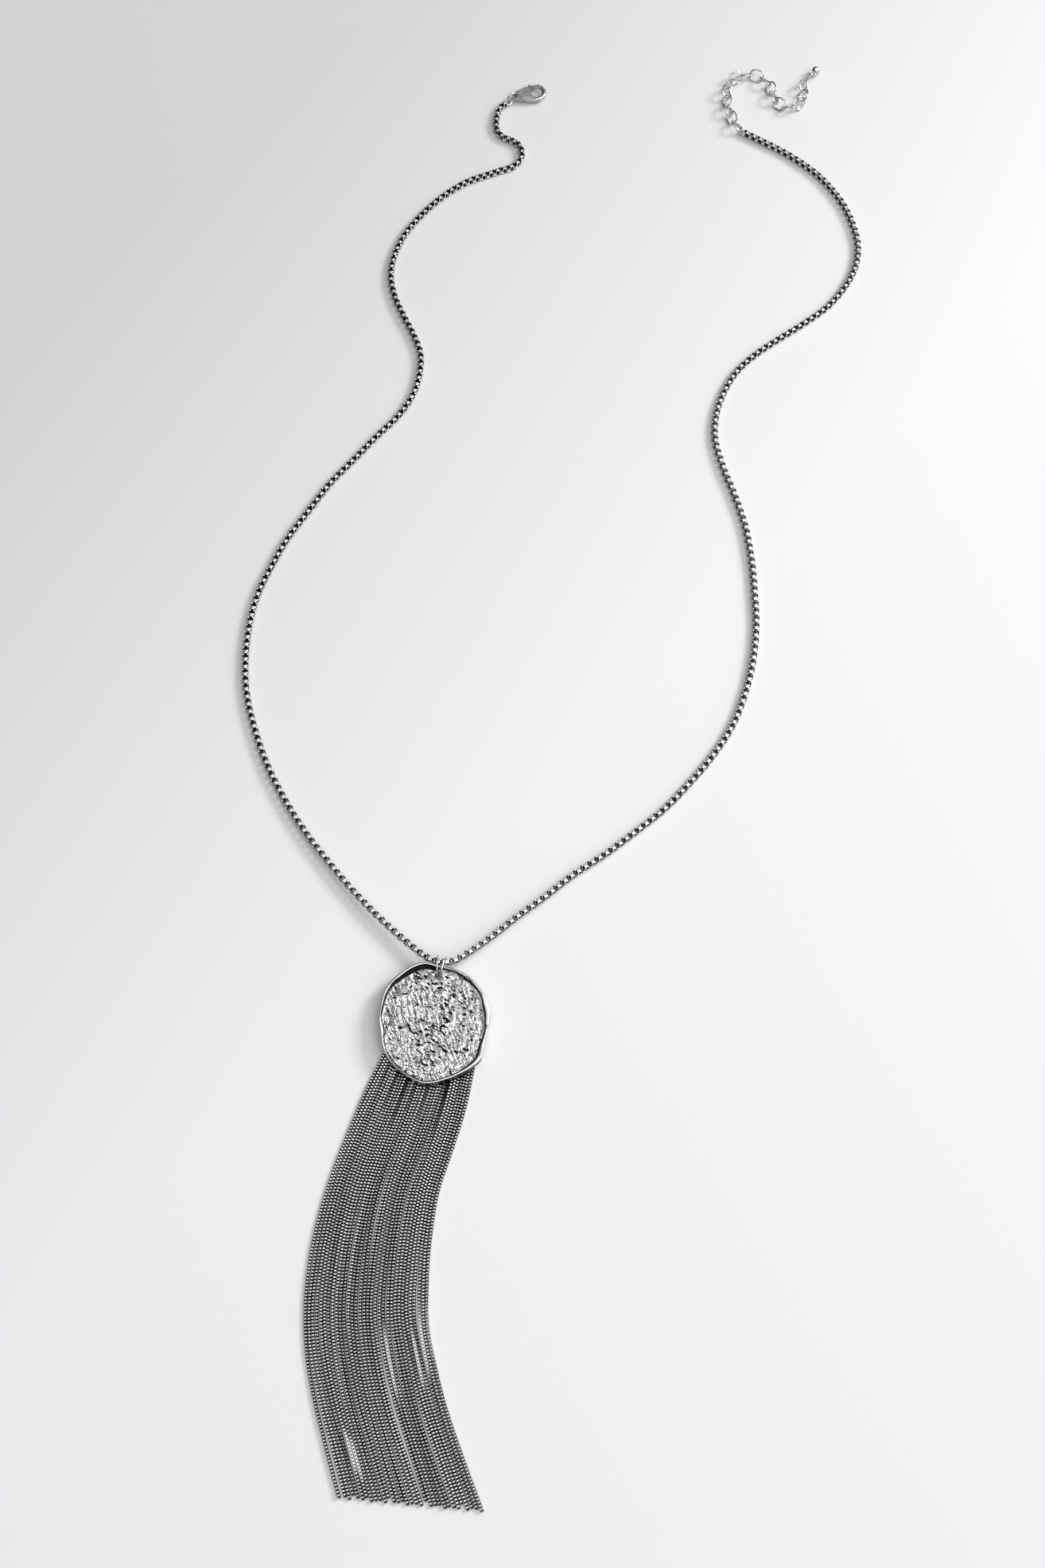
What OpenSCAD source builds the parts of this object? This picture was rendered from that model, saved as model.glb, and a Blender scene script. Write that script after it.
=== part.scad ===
// Coin necklace with a chain fringe, lying open on a flat surface.
// X is to the wearer's left as seen here, Y runs from the fringe to the clasp, Z is up.
// The origin is under the middle of the whole necklace, on the surface that it lies on.

/* [Neck chain] */
// Width across the neck chain
neck_w = 1.9; // [1.7:0.1:2]
// Rings of points along the neck chain
neck_rings = 84; // [60:1:84]

/* [Coin] */
// Thickness of the coin under its textured face
coin_t = 1.6; // [1.4:0.1:1.6]
// Height of the polished lip above the face
lip_h = 0.7; // [0.3:0.1:0.8]
// Height of the coin's back above the surface
coin_z = 2; // [2:0.1:2.1]
// Depth of the dents in the face
dent = 0.12; // [0:0.02:0.2]
// Diameter of the hole for the two rings
coin_hole_d = 2.3; // [2.3:0.1:2.5]

/* [Rings] */
// Outer diameter of the two rings that hold the coin
bail_d = 6.5; // [6.5:0.1:6.7]
// Wire of the two rings that hold the coin
bail_wire = 0.6; // [0.55:0.05:0.65]
// Outer diameter of the ring at the clasp
clasp_ring_d = 4.4; // [4.3:0.1:4.5]
// Wire of the ring at the clasp
clasp_ring_wire = 0.6; // [0.5:0.1:0.7]

/* [Fringe] */
// Number of strands
strands = 32; // [24:1:32]
// Thickness of a strand
strand_t = 1; // [0.8:0.1:1]
// Gap between one strand and the next
strand_gap = 0.1; // [0.08:0.02:0.14]
// Most that a strand is shorter than the longest one
ragged = 2; // [0:0.5:4]

/* [Clasp] */
// Radius of the hook's outside
hook_r = 3.5; // [3.4:0.05:3.6]
// Radius of the hook's opening
hook_in_r = 2; // [1.95:0.05:2.1]
// Thickness of the clasp
clasp_t = 2.8; // [2.6:0.1:3]
// Thickness of the lever
lever_t = 1.1; // [1:0.1:1.2]
// Radius of the lever's pin
pin_r = 0.36; // [0.3:0.02:0.4]

/* [Extender] */
// Links in the extender
links = 18; // [10:1:18]
// Distance from one link to the next
link_pitch = 3.75; // [3.65:0.05:3.8]
// Width of a link
link_w = 4.3; // [4.2:0.05:4.4]
// Straight length between a link's two rounds
link_straight = 1.2; // [1.15:0.05:1.3]
// Wire of a link
link_wire = 0.6; // [0.5:0.05:0.6]
// How far each link is rolled from lying flat, in turn one way and the other
link_roll = 42; // [40:1:44]
// Diameter of the end bead
bead_d = 3; // [2.6:0.1:3.4]

/* [Hidden] */
$fn = 48;

// Centre line of the neck chain from the clasp to the extender, through the two rings
neck_route = [
    [-19.6, 223.8, 1.1], [-21.5, 222, 1.1], [-22.5, 219.5, 1], [-23, 215, 1], [-22.5, 212, 1],
    [-20.5, 209.5, 1], [-17.5, 208, 1], [-15, 206, 1], [-14, 203, 1], [-14.5, 200, 1],
    [-17, 197, 1], [-21, 195.5, 1], [-26, 193.5, 1], [-32, 191, 1], [-38, 187, 1],
    [-44, 181.5, 1], [-49.5, 175, 1], [-54, 168, 1], [-57, 160, 1], [-58, 152, 1],
    [-56.5, 144, 1], [-53.5, 136.5, 1], [-50, 129, 1], [-47.5, 121.5, 1], [-47.5, 114.5, 1],
    [-49.5, 106, 1], [-54, 98, 1], [-61, 90, 1], [-68, 81.5, 1], [-75.5, 72.5, 1],
    [-82, 62.5, 1], [-88, 53, 1], [-93, 42.5, 1], [-97, 32, 1], [-99, 21, 1], [-99.5, 10, 1],
    [-98.5, -1.5, 1], [-95.5, -13, 1], [-91.5, -24, 1.1], [-86, -35, 1.2], [-79.5, -45.5, 1.4],
    [-72, -55.5, 1.6], [-64.5, -64.5, 1.8], [-56.5, -73, 2.1], [-49, -80, 2.4], [-42.5, -85.4, 2.9],
    [-39.5, -87.1, 3.1], [-36.5, -87.6, 3.2], [-33.5, -87, 3.1], [-30.5, -85.2, 2.8], [-23, -79.8, 2.4],
    [-15.5, -73.5, 2], [-7, -67, 1.7], [1.5, -60, 1.4], [11, -53.5, 1.2], [20, -46.5, 1.1],
    [29, -39, 1], [36.5, -31, 1], [43.5, -22.5, 1], [50, -12.5, 1], [54.5, -1.5, 1], [57.5, 10, 1],
    [59, 22, 1], [59, 33.5, 1], [58.5, 45, 1], [57, 57, 1], [54, 68.5, 1], [50.5, 79.5, 1],
    [48.5, 90, 1], [49.5, 99, 1], [52.3, 107, 1], [57, 115, 1], [63.5, 121.5, 1], [71.5, 127.5, 1],
    [80, 133.5, 1], [88, 140, 1], [94, 147.5, 1], [98, 155.5, 1], [99.5, 164, 1], [98.5, 172, 1],
    [96, 180, 1], [92, 187.5, 1], [87, 194, 1], [81, 199.5, 1], [75, 204, 1], [68.5, 208, 1.1],
    [62.6, 211.5, 1.2]
];
// The chain is two pieces that meet between the two rings, so far along the points above
neck_meet = 46.5;
neck_gap = 0.03;
// The small loops at the chain's two ends: centre, and roll from lying flat about the chain's line
start_loop = [-18.8, 224.5, 1.1];
start_loop_roll = 0;
end_loop = [61.7, 212, 1.6];
end_loop_roll = 40;
loop_r = 1.15;
loop_wire = 0.5;

// Centre line of the extender, from the neck chain's end
extender_route = [
    [60.5, 214], [59, 217], [58, 220], [57.5, 224.5], [57.5, 228.5], [59, 232.5], [61.5, 235],
    [65.5, 236], [69, 235.3], [72, 232.5], [73.4, 229], [74.2, 225.6], [76, 223.1], [79, 222.2],
    [82, 223.1], [83.7, 225.2], [84.3, 228], [84.6, 231], [86.2, 234], [89, 237]
];

// Middle of the coin, in plan
coin_pos = [-39, -105.5];
// The hole in the coin, from the coin's middle
coin_hole_pos = [1, 13.8];

// Columns of the coin's outline
OUT_R = 0;
LIP_W = 1;
SLOPE_W = 2;
// One row for each 10 degrees from +X: outer radius, width of the lip, width of its inner slope
coin_outline = [
    [15.8, 1.3, 0.3], [16.2, 1.5, 0.4], [16.2, 1.4, 0.4], [16.3, 0.9, 0.3], [16.4, 0.7, 0.5],
    [16.6, 0.9, 0.5], [16.7, 0.8, 0.4], [16.7, 0.6, 0.3], [16.7, 0.6, 0.4], [17.2, 0.7, 0.9],
    [18.2, 0.7, 1.3], [18.2, 0.7, 1.3], [17.9, 0.7, 1.1], [17.7, 0.8, 0.9], [17.6, 0.8, 0.8],
    [17.2, 0.7, 0.6], [16.5, 0.6, 0.4], [16.2, 0.5, 0.3], [16, 0.6, 0.3], [15.9, 0.9, 0.4],
    [16.2, 0.6, 0.3], [16.6, 0.5, 0.3], [17, 0.6, 0.3], [17.2, 0.6, 0.3], [17.4, 0.6, 0.3],
    [17.8, 0.6, 0.3], [18.1, 0.6, 0.3], [17.8, 0.6, 0.3], [17.2, 0.6, 0.3], [17, 0.6, 0.3],
    [16.9, 0.7, 0.4], [17.1, 0.9, 0.5], [17.3, 1.4, 0.5], [16.3, 1.3, 0.5], [15.7, 1, 0.4],
    [15.6, 0.9, 0.3]
];
coin_steps = 72;
coin_top = coin_z + coin_t;
lip_round = 0.25;
back_round = 0.35;

// Columns of the fringe's two outermost strands
LX = 0;
LY = 1;
RX = 2;
RY = 3;
// One row for each 12 mm along the strands from the head: the left and right strands' centres
fringe_edges = [
    [-49.3, -105.2, -25.8, -107], [-54.2, -116, -28, -118.8], [-59, -127, -30.4, -130.6],
    [-63.4, -138.2, -33.8, -142], [-67.4, -149.5, -37.4, -153.3], [-70.4, -161, -39.2, -165.3],
    [-72.4, -173, -40, -177.2], [-73.2, -185, -39.8, -189.2], [-72.2, -197, -37.3, -201],
    [-69.6, -208.8, -34, -212.5], [-66.1, -220.3, -29.8, -223.8], [-61.9, -234, -24.4, -237.2]
];
fringe_steps = 14;
// The strand after which the fringe parts, and how much wider that gap is than the others
part_after = 19;
part_gap = 1.8;

// The clamp that is soldered under the coin and holds the fringe's head
clamp_wall = 0.4;
clamp_gap = 0.1;
head_d = 2.4;
head_t = 1.2;
head_z = clamp_wall + clamp_gap;
head_over = 1.1;

// The clasp's own frame: X from its eye to its hook, on the surface
clasp_pos = [-11.6, 227.8];
clasp_turn = 5;
hook_pos = [2.6, 0.15];
eye_pos = [-4.6, -0.8];
eye_r = 1.4;
eye_hole_r = 0.9;
eye_z = [1.2, 2.2];
pivot = [-0.6, 0.7];
root_r = 0.9;
slot_gap = 0.1;
running_gap = 0.05;
reach = 4.5;
arm_r = [2.2, 3.1];
knob_r = 0.65;
knob_at = 128;
lever_z = (clasp_t - lever_t) / 2;

bail_r = (bail_d - bail_wire) / 2;
clasp_ring_r = (clasp_ring_d - clasp_ring_wire) / 2;
// Direction from the clasp's eye to the chain's end
clasp_ring_turn = 219;
bead_loop_r = 0.85;
bead_loop_wire = 0.5;

function link_name(i) = str("extender_link_", i < 10 ? "0" : "", i);
function row(table, i) = table[(i + len(table)) % len(table)];
function clamped(table, i) = table[min(max(i, 0), len(table) - 1)];

// A smooth curve through four points, at t from 0 to 1 between the middle two
function curve(a, b, c, d, t) =
    0.5 * (2 * b + (c - a) * t + (2 * a - 5 * b + 4 * c - d) * t * t
           + (3 * b - a - 3 * c + d) * t * t * t);
function on_loop(table, u) =
    let (i = floor(u)) curve(row(table, i - 1), row(table, i), row(table, i + 1), row(table, i + 2), u - i);
function on_table(table, u) =
    let (i = min(floor(u), len(table) - 2))
    curve(clamped(table, i - 1), clamped(table, i), clamped(table, i + 1), clamped(table, i + 2), u - i);

// The same for unevenly spaced points: each stretch is weighed by the root of its length
function knot(a, b) = sqrt(max(norm(b - a), 0.001));
function between(a, b, ta, tb, t) = a * (tb - t) / (tb - ta) + b * (t - ta) / (tb - ta);
function smooth(a, b, c, d, t) =
    let (t1 = knot(a, b), t2 = t1 + knot(b, c), t3 = t2 + knot(c, d), s = t1 + (t2 - t1) * t,
         ab = between(a, b, 0, t1, s), bc = between(b, c, t1, t2, s), cd = between(c, d, t2, t3, s),
         abc = between(ab, bc, 0, t2, s), bcd = between(bc, cd, t1, t3, s))
    between(abc, bcd, t1, t2, s);
function before(route) = 2 * route[0] - route[1];
function after(route) = let (n = len(route)) 2 * route[n - 1] - route[n - 2];
function on_route(route, u) =
    let (n = len(route), i = min(floor(u), n - 2))
    smooth(i == 0 ? before(route) : route[i - 1], route[i], route[i + 1],
           i == n - 2 ? after(route) : route[i + 2], u - i);
function unit(v) = v / norm(v);

// A closed solid from rings of points, each ring with the same number of points
module skin(rings) {
    n = len(rings[0]);
    m = len(rings);
    first_mid = m * n;
    last_mid = first_mid + 1;
    polyhedron(
        points = concat([for (r = rings) for (p = r) p], [middle(rings[0]), middle(rings[m - 1])]),
        faces = concat(
            [for (k = [0:n - 1]) [first_mid, k, (k + 1) % n]],
            [for (j = [0:m - 2]) for (k = [0:n - 1])
                [j * n + k, (j + 1) * n + k, j * n + (k + 1) % n]],
            [for (j = [0:m - 2]) for (k = [0:n - 1])
                [(j + 1) * n + k, (j + 1) * n + (k + 1) % n, j * n + (k + 1) % n]],
            [for (k = [0:n - 1]) [last_mid, (m - 1) * n + (k + 1) % n, (m - 1) * n + k]]));
}
function middle(points) = [for (c = [0:2]) [for (p = points) p[c]] * [for (p = points) 1]] / len(points);

// Eight points round a centre line, flat side down
function tube_ring(c, ahead, r) =
    let (side = unit(cross(ahead, [0, 0, 1])), up = cross(side, ahead))
    [for (k = [0:7]) c + (side * cos(22.5 + 45 * k) - up * sin(22.5 + 45 * k)) * r / cos(22.5)];

module end_link(c, towards, roll) {
    away = towards - c;
    translate(c) rotate([0, 0, atan2(away[1], away[0])]) rotate([roll, 0, 0]) ring(loop_r, loop_wire);
}

// The neck chain from one place along its points to another, in so many rings
module neck_run(first, last, rings) {
    end = len(neck_route) - 1;
    skin([for (k = [0:rings - 1])
        let (u = first + (last - first) * k / (rings - 1),
             ahead = on_route(neck_route, min(u + 0.3, end)) - on_route(neck_route, max(u - 0.3, 0)))
        tube_ring(on_route(neck_route, u), unit(ahead), neck_w / 2)]);
}

left_rings = round(neck_rings * 0.54);

module neck_chain_left() {
    color("silver")
        union() {
            neck_run(0, neck_meet - neck_gap, left_rings);
            end_link(start_loop, neck_route[0], start_loop_roll);
        }
}

module neck_chain_right() {
    last = len(neck_route) - 1;
    color("silver")
        union() {
            neck_run(neck_meet + neck_gap, last, neck_rings - left_rings);
            end_link(end_loop, neck_route[last], end_loop_roll);
        }
}

module ring(r, wire) {
    rotate_extrude($fn = 96) translate([r, 0]) circle(d = wire, $fn = 32);
}

// Two rings side by side in the coin's hole, leaning apart like a fan
module bail_ring(side, lean) {
    apart = 0.46;
    color("silver")
        translate([coin_pos[0] + coin_hole_pos[0], coin_pos[1] + coin_hole_pos[1] + 0.05, bail_d / 2])
            rotate([0, 0, -lean])
                translate([side * apart, bail_r, 0])
                    rotate([0, 90, 0])
                        ring(bail_r, bail_wire);
}

function coin_at(a, inset, z) =
    let (r = on_loop(coin_outline, a / 10)[OUT_R] - inset)
    [coin_pos[0] + r * cos(a), coin_pos[1] + r * sin(a), z];
function slope_foot(a) = let (o = on_loop(coin_outline, a / 10)) o[LIP_W] + o[SLOPE_W];
// Height of the beaten face, which dips and rises in slanting bands
function face_z(p) =
    coin_top + dent * (sin(38 * p[0] + 21 * p[1]) * cos(27 * p[1] - 9 * p[0]) - 1);
function face_at(a, share) =
    let (p = coin_at(a, slope_foot(a), 0),
         q = [coin_pos[0] + (p[0] - coin_pos[0]) * share, coin_pos[1] + (p[1] - coin_pos[1]) * share])
    [q[0], q[1], face_z(q)];

module coin_disc() {
    turns = [for (k = [0:coin_steps - 1]) k * 360 / coin_steps];
    skin(concat(
        [[for (a = turns) coin_at(a, back_round, coin_z)],
         [for (a = turns) coin_at(a, 0, coin_z + back_round)],
         [for (a = turns) coin_at(a, 0, coin_top + lip_h - lip_round)],
         [for (a = turns) coin_at(a, lip_round, coin_top + lip_h)],
         [for (a = turns) coin_at(a, on_loop(coin_outline, a / 10)[LIP_W], coin_top + lip_h)]],
        [for (share = [1, 0.8, 0.6, 0.4, 0.2]) [for (a = turns) face_at(a, share)]],
        [[for (a = turns) [coin_pos[0] + 0.4 * cos(a), coin_pos[1] + 0.4 * sin(a), coin_top - dent]]]));
}

// The fringe's head lies between its two outermost strands
head_left = [fringe_edges[0][LX], fringe_edges[0][LY]];
head_right = [fringe_edges[0][RX], fringe_edges[0][RY]];
head_mid = (head_left + head_right) / 2;
head_turn = atan2(head_right[1] - head_left[1], head_right[0] - head_left[0]);
head_l = norm(head_right - head_left) + 2 * head_over;

module at_head() {
    translate([head_mid[0], head_mid[1], 0]) rotate([0, 0, head_turn]) children();
}

// A channel, open towards the strands, that is soldered to the coin's back
module clamp() {
    room = clamp_gap + clamp_wall;
    back = head_d / 2;
    at_head() difference() {
        translate([-head_l / 2 - room, -head_d / 2, 0])
            cube([head_l + 2 * room, head_d + room, coin_z + 0.2]);
        translate([-head_l / 2 - clamp_gap, -head_d / 2 - 1, clamp_wall])
            cube([head_l + 2 * clamp_gap, 1 + back + head_d / 2 + clamp_gap, head_t + 2 * clamp_gap]);
    }
}

module coin() {
    color("silver")
        difference() {
            union() {
                coin_disc();
                clamp();
            }
            translate([coin_pos[0] + coin_hole_pos[0], coin_pos[1] + coin_hole_pos[1], coin_z - 1])
                cylinder(d = coin_hole_d, h = coin_t + lip_h + 2);
        }
}

// Share of the way from the left strand to the right one, with one wider gap
function strand_share(i) =
    (i + (i >= part_after ? part_gap - 1 : 0)) / (strands - 1 + part_gap - 1);
function strand_length(i) =
    1 - ragged / 134 * (0.5 + 0.5 * sin(137 * i)) * (0.4 + 0.6 * sin(23 * i) * sin(23 * i));
// Centre of strand i at share u of its length
function strand_at(i, u) =
    let (e = on_table(fringe_edges, u * (len(fringe_edges) - 1)), s = strand_share(i))
    [e[LX] + (e[RX] - e[LX]) * s, e[LY] + (e[RY] - e[LY]) * s];
function strand_w(u) =
    let (e = on_table(fringe_edges, u * (len(fringe_edges) - 1)))
    norm([e[RX] - e[LX], e[RY] - e[LY]]) / (strands - 1 + part_gap - 1) - strand_gap;
// Strands leave the head a little above the surface and come down to it
function strand_z(u) = (head_z + 0.1) * pow(max(0, 1 - max(0, u - 0.012) / 0.07), 2);

module strand(i) {
    us = [for (k = [0:fringe_steps]) strand_length(i) * k / fringe_steps];
    skin([for (u = us)
        let (c = strand_at(i, u), ahead = unit(strand_at(i, u + 0.01) - strand_at(i, u - 0.01)),
             side = [ahead[1], -ahead[0]] * strand_w(u) / 2, z = strand_z(u))
        [[c[0] - side[0], c[1] - side[1], z], [c[0] - side[0], c[1] - side[1], z + strand_t],
         [c[0] + side[0], c[1] + side[1], z + strand_t], [c[0] + side[0], c[1] + side[1], z]]]);
}

module fringe() {
    color("dimgray")
        union() {
            at_head() translate([-head_l / 2, -head_d / 2, head_z]) cube([head_l, head_d, head_t]);
            for (i = [0:strands - 1]) strand(i);
        }
}

module at_clasp() {
    translate([clasp_pos[0], clasp_pos[1], 0]) rotate([0, 0, clasp_turn]) children();
}

module clasp_ring() {
    color("silver")
        at_clasp()
            translate([eye_pos[0], eye_pos[1], clasp_ring_d / 2])
                rotate([0, 0, clasp_ring_turn - clasp_turn])
                    translate([clasp_ring_r, 0, 0])
                        rotate([90, 0, 0])
                            ring(clasp_ring_r, clasp_ring_wire);
}

// The band between two circles, cut by the two lines that touch both
module cheeks_outline() {
    away = eye_pos - hook_pos;
    turn = atan2(away[1], away[0]);
    wide = hook_r - 0.1;
    open = acos((wide - eye_r) / norm(away));
    polygon([for (s = [-1, 1]) for (c = s < 0 ? [0, 1] : [1, 0])
        (c == 0 ? hook_pos : eye_pos)
        + (c == 0 ? wide : eye_r) * [cos(turn + s * open), sin(turn + s * open)]]);
}

// A wedge from the hook's centre, from angle a to angle b
module wedge(a, b) {
    far = 12;
    mid = (a + b) / 2;
    translate(hook_pos)
        polygon([[0, 0], [cos(a), sin(a)] * far, [cos(mid), sin(mid)] * far, [cos(b), sin(b)] * far]);
}

// The gate's opening in the hook, closed by the lever
module gate_gap() {
    intersection() {
        translate(pivot) circle(r = reach + slot_gap);
        wedge(20, 150);
    }
}

module body_outline() {
    difference() {
        union() {
            translate(eye_pos) circle(r = eye_r);
            cheeks_outline();
        }
        translate(hook_pos) circle(r = hook_in_r + 0.15);
    }
}

// Room inside the clasp for the lever's root and arm
module slot_outline() {
    translate(pivot) circle(r = root_r + slot_gap);
    polygon([[pivot[0] - root_r - slot_gap, pivot[1]], [pivot[0], -1.2], [3, -1.2], [3, 5], [-1.2, 5]]);
}

module clasp_body() {
    rounding = 0.4;
    color("silver")
        at_clasp() {
            difference() {
                union() {
                    translate([0, 0, rounding])
                        linear_extrude(height = clasp_t - 2 * rounding) body_outline();
                    linear_extrude(height = clasp_t) offset(delta = -rounding) body_outline();
                    translate([hook_pos[0], hook_pos[1], clasp_t / 2])
                        ring((hook_r + hook_in_r) / 2, hook_r - hook_in_r);
                }
                translate([0, 0, -1]) linear_extrude(height = clasp_t + 2) gate_gap();
                translate([eye_pos[0], eye_pos[1], -1]) cylinder(r = eye_hole_r, h = clasp_t + 2);
                translate([0, 0, lever_z - slot_gap])
                    linear_extrude(height = lever_t + 2 * slot_gap) slot_outline();
                for (z = [-1, eye_z[1]])
                    translate([eye_pos[0] - 3, eye_pos[1] - 3, z])
                        cube([3.9, 6, z < 0 ? 1 + eye_z[0] : 3]);
            }
            translate([pivot[0], pivot[1], 0]) cylinder(r = pin_r, h = clasp_t);
        }
}

module lever_outline() {
    difference() {
        union() {
            translate(pivot) circle(r = root_r);
            intersection() {
                difference() {
                    translate(hook_pos) circle(r = arm_r[1]);
                    translate(hook_pos) circle(r = arm_r[0]);
                }
                wedge(30, 165);
                translate(pivot) circle(r = reach);
            }
            translate(hook_pos + (arm_r[1] + knob_r / 2) * [cos(knob_at), sin(knob_at)]) circle(r = knob_r);
        }
        translate(pivot) circle(r = pin_r + running_gap);
    }
}

module clasp_lever() {
    color("gray")
        at_clasp() translate([0, 0, lever_z]) linear_extrude(height = lever_t) lever_outline();
}

// Lengths along the extender's line, at even steps of its parameter
line_cuts = 12;
line = [for (k = [0:(len(extender_route) - 1) * line_cuts]) on_route(extender_route, k / line_cuts)];
function lengths(i, so_far) =
    i >= len(line) ? so_far
    : lengths(i + 1, concat(so_far, [so_far[i - 1] + norm(line[i] - line[i - 1])]));
line_lengths = lengths(1, [0]);
function line_at(s) =
    let (i = min(max([for (k = [0:len(line) - 1]) if (line_lengths[k] <= s) k]), len(line) - 2))
    line[i] + (line[i + 1] - line[i]) * (s - line_lengths[i]) / (line_lengths[i + 1] - line_lengths[i]);
function link_at(i) = line_at((i - 1) * link_pitch);
function link_turn(i) =
    let (d = line_at((i - 1) * link_pitch + 0.9) - line_at(max((i - 1) * link_pitch - 0.9, 0)))
    atan2(d[1], d[0]);
link_r = (link_w - link_wire) / 2;

// A link of round wire: two half rounds and two straights, along X
module link_shape() {
    for (s = [-1, 1]) {
        translate([s * link_straight / 2, 0, 0])
            rotate([0, 0, -90 * s])
                rotate_extrude(angle = 180) translate([link_r, 0]) circle(d = link_wire, $fn = 24);
        translate([-link_straight / 2, s * link_r, 0])
            rotate([0, 90, 0]) cylinder(d = link_wire, h = link_straight, $fn = 24);
    }
}

module extender_link(i) {
    // The last link stands on its edge
    roll = i == links ? -70 : (i % 2 == 1 ? link_roll : -link_roll);
    c = link_at(i);
    color("silver")
        translate([c[0], c[1], link_r * sin(abs(roll)) + link_wire / 2])
            rotate([0, 0, link_turn(i)])
                rotate([roll, 0, 0])
                    link_shape();
}

// A round bead with a small loop soldered to it
module end_bead() {
    loop_at = link_straight / 2 + link_r + 0.2;
    c = link_at(links);
    color("silver")
        translate([c[0], c[1], 0])
            rotate([0, 0, link_turn(links)]) {
                translate([loop_at, 0, bead_d / 2 + 0.4]) ring(bead_loop_r, bead_loop_wire);
                translate([loop_at + bead_loop_r + bead_d / 2 - 0.3, 0, bead_d / 2]) sphere(d = bead_d);
            }
}

neck_chain_left();
neck_chain_right();
bail_ring(-1, 0);  // bail_ring_a
bail_ring(1, 15);  // bail_ring_b
coin();
fringe();
clasp_ring();
clasp_body();
clasp_lever();
end_bead();
for (i = [1:links]) extender_link(i);
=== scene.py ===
"""Coin necklace with a chain fringe, lying open on a pale surface.

Lengths in the tables are in millimetres, in the frame of the CAD model, and are turned into metres
where a mesh is made.
"""
from __future__ import annotations

import logging
import math
import random
from contextlib import contextmanager
from dataclasses import dataclass
from enum import Enum
from typing import Callable, Iterator, Sequence

import bmesh
import bpy
from mathutils import Matrix, Vector, noise


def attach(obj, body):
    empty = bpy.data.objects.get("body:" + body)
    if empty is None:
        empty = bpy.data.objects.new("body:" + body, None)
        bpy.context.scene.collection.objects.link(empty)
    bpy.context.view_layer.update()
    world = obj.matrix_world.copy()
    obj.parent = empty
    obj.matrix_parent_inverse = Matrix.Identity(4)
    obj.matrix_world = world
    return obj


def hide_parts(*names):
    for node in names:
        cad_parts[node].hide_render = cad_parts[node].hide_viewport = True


MM = 0.001
LOG = logging.getLogger("necklace")
Part = bpy.types.Object
Material = bpy.types.Material
Tree = bpy.types.NodeTree
Socket = bpy.types.NodeSocket
Colour = tuple[float, float, float]

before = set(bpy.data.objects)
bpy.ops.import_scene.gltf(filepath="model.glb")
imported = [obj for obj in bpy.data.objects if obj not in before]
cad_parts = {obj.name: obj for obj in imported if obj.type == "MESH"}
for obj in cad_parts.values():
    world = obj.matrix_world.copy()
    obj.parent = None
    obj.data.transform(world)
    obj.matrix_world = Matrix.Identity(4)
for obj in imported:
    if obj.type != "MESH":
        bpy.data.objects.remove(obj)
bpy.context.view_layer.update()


# Small tools for modelling


def pick(obj: Part) -> None:
    """Select one object alone and make it active.

    Args:
        obj: The object.
    """
    bpy.ops.object.select_all(action="DESELECT")
    obj.select_set(True)
    bpy.context.view_layer.objects.active = obj


@contextmanager
def editing(obj: Part) -> Iterator[None]:
    """Stay in edit mode on one object, with nothing selected at the start.

    Args:
        obj: The mesh object to edit.
    """
    pick(obj)
    bpy.ops.object.mode_set(mode="EDIT")
    bpy.ops.mesh.select_all(action="DESELECT")
    try:
        yield
    finally:
        bpy.ops.object.mode_set(mode="OBJECT")


def select_verts(obj: Part, test: Callable[[Vector], bool]) -> None:
    """Select, in edit mode, the points whose place passes a test.

    Args:
        obj: The object in edit mode.
        test: Called with a point's place.
    """
    mesh = bmesh.from_edit_mesh(obj.data)
    for vert in mesh.verts:
        vert.select = test(vert.co)
    mesh.select_flush(True)
    mesh.select_flush(False)
    bmesh.update_edit_mesh(obj.data)


def select_faces(obj: Part, test: Callable[[Vector], bool]) -> None:
    """Select, in edit mode, the faces whose normal passes a test.

    Args:
        obj: The object in edit mode.
        test: Called with a face's normal.
    """
    bpy.ops.mesh.select_mode(type="FACE")
    mesh = bmesh.from_edit_mesh(obj.data)
    for face in mesh.faces:
        face.select_set(test(face.normal))
    bmesh.update_edit_mesh(obj.data)


def apply_all(obj: Part) -> None:
    """Apply every modifier of an object, in order.

    Args:
        obj: The object.
    """
    pick(obj)
    for modifier in list(obj.modifiers):
        bpy.ops.object.modifier_apply(modifier=modifier.name)


def named(name: str) -> Part:
    """Give the active object, and its mesh, a name.

    Args:
        name: The name.

    Returns:
        The object.
    """
    obj = bpy.context.object
    obj.name = name
    obj.data.name = name
    return obj


def added(name: str, data: bpy.types.ID) -> Part:
    """Add an object that shows some data to the scene.

    Args:
        name: The object's name.
        data: What it shows: a curve, a light or a camera.

    Returns:
        The object.
    """
    obj = bpy.data.objects.new(name, data)
    bpy.context.scene.collection.objects.link(obj)
    return obj


def settle(obj: Part) -> None:
    """Put the object's place, turn and scale into its mesh."""
    pick(obj)
    bpy.ops.object.transform_apply(location=True, rotation=True, scale=True)


def twin(obj: Part, name: str, place: Matrix) -> Part:
    """Copy an object with a mesh of its own.

    Args:
        obj: What to copy.
        name: The copy's name.
        place: Moves the copy's mesh.

    Returns:
        The copy.
    """
    pick(obj)
    bpy.ops.object.duplicate(linked=False)
    copy = named(name)
    copy.data.transform(place)
    return copy


def fuse(parts: Sequence[Part], name: str) -> Part:
    """Join several objects into one piece.

    Args:
        parts: The objects; the first takes in the others.
        name: The piece's name.

    Returns:
        The piece.
    """
    pick(parts[0])
    for part in parts[1:]:
        part.select_set(True)
    bpy.ops.object.join()
    return named(name)


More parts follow.
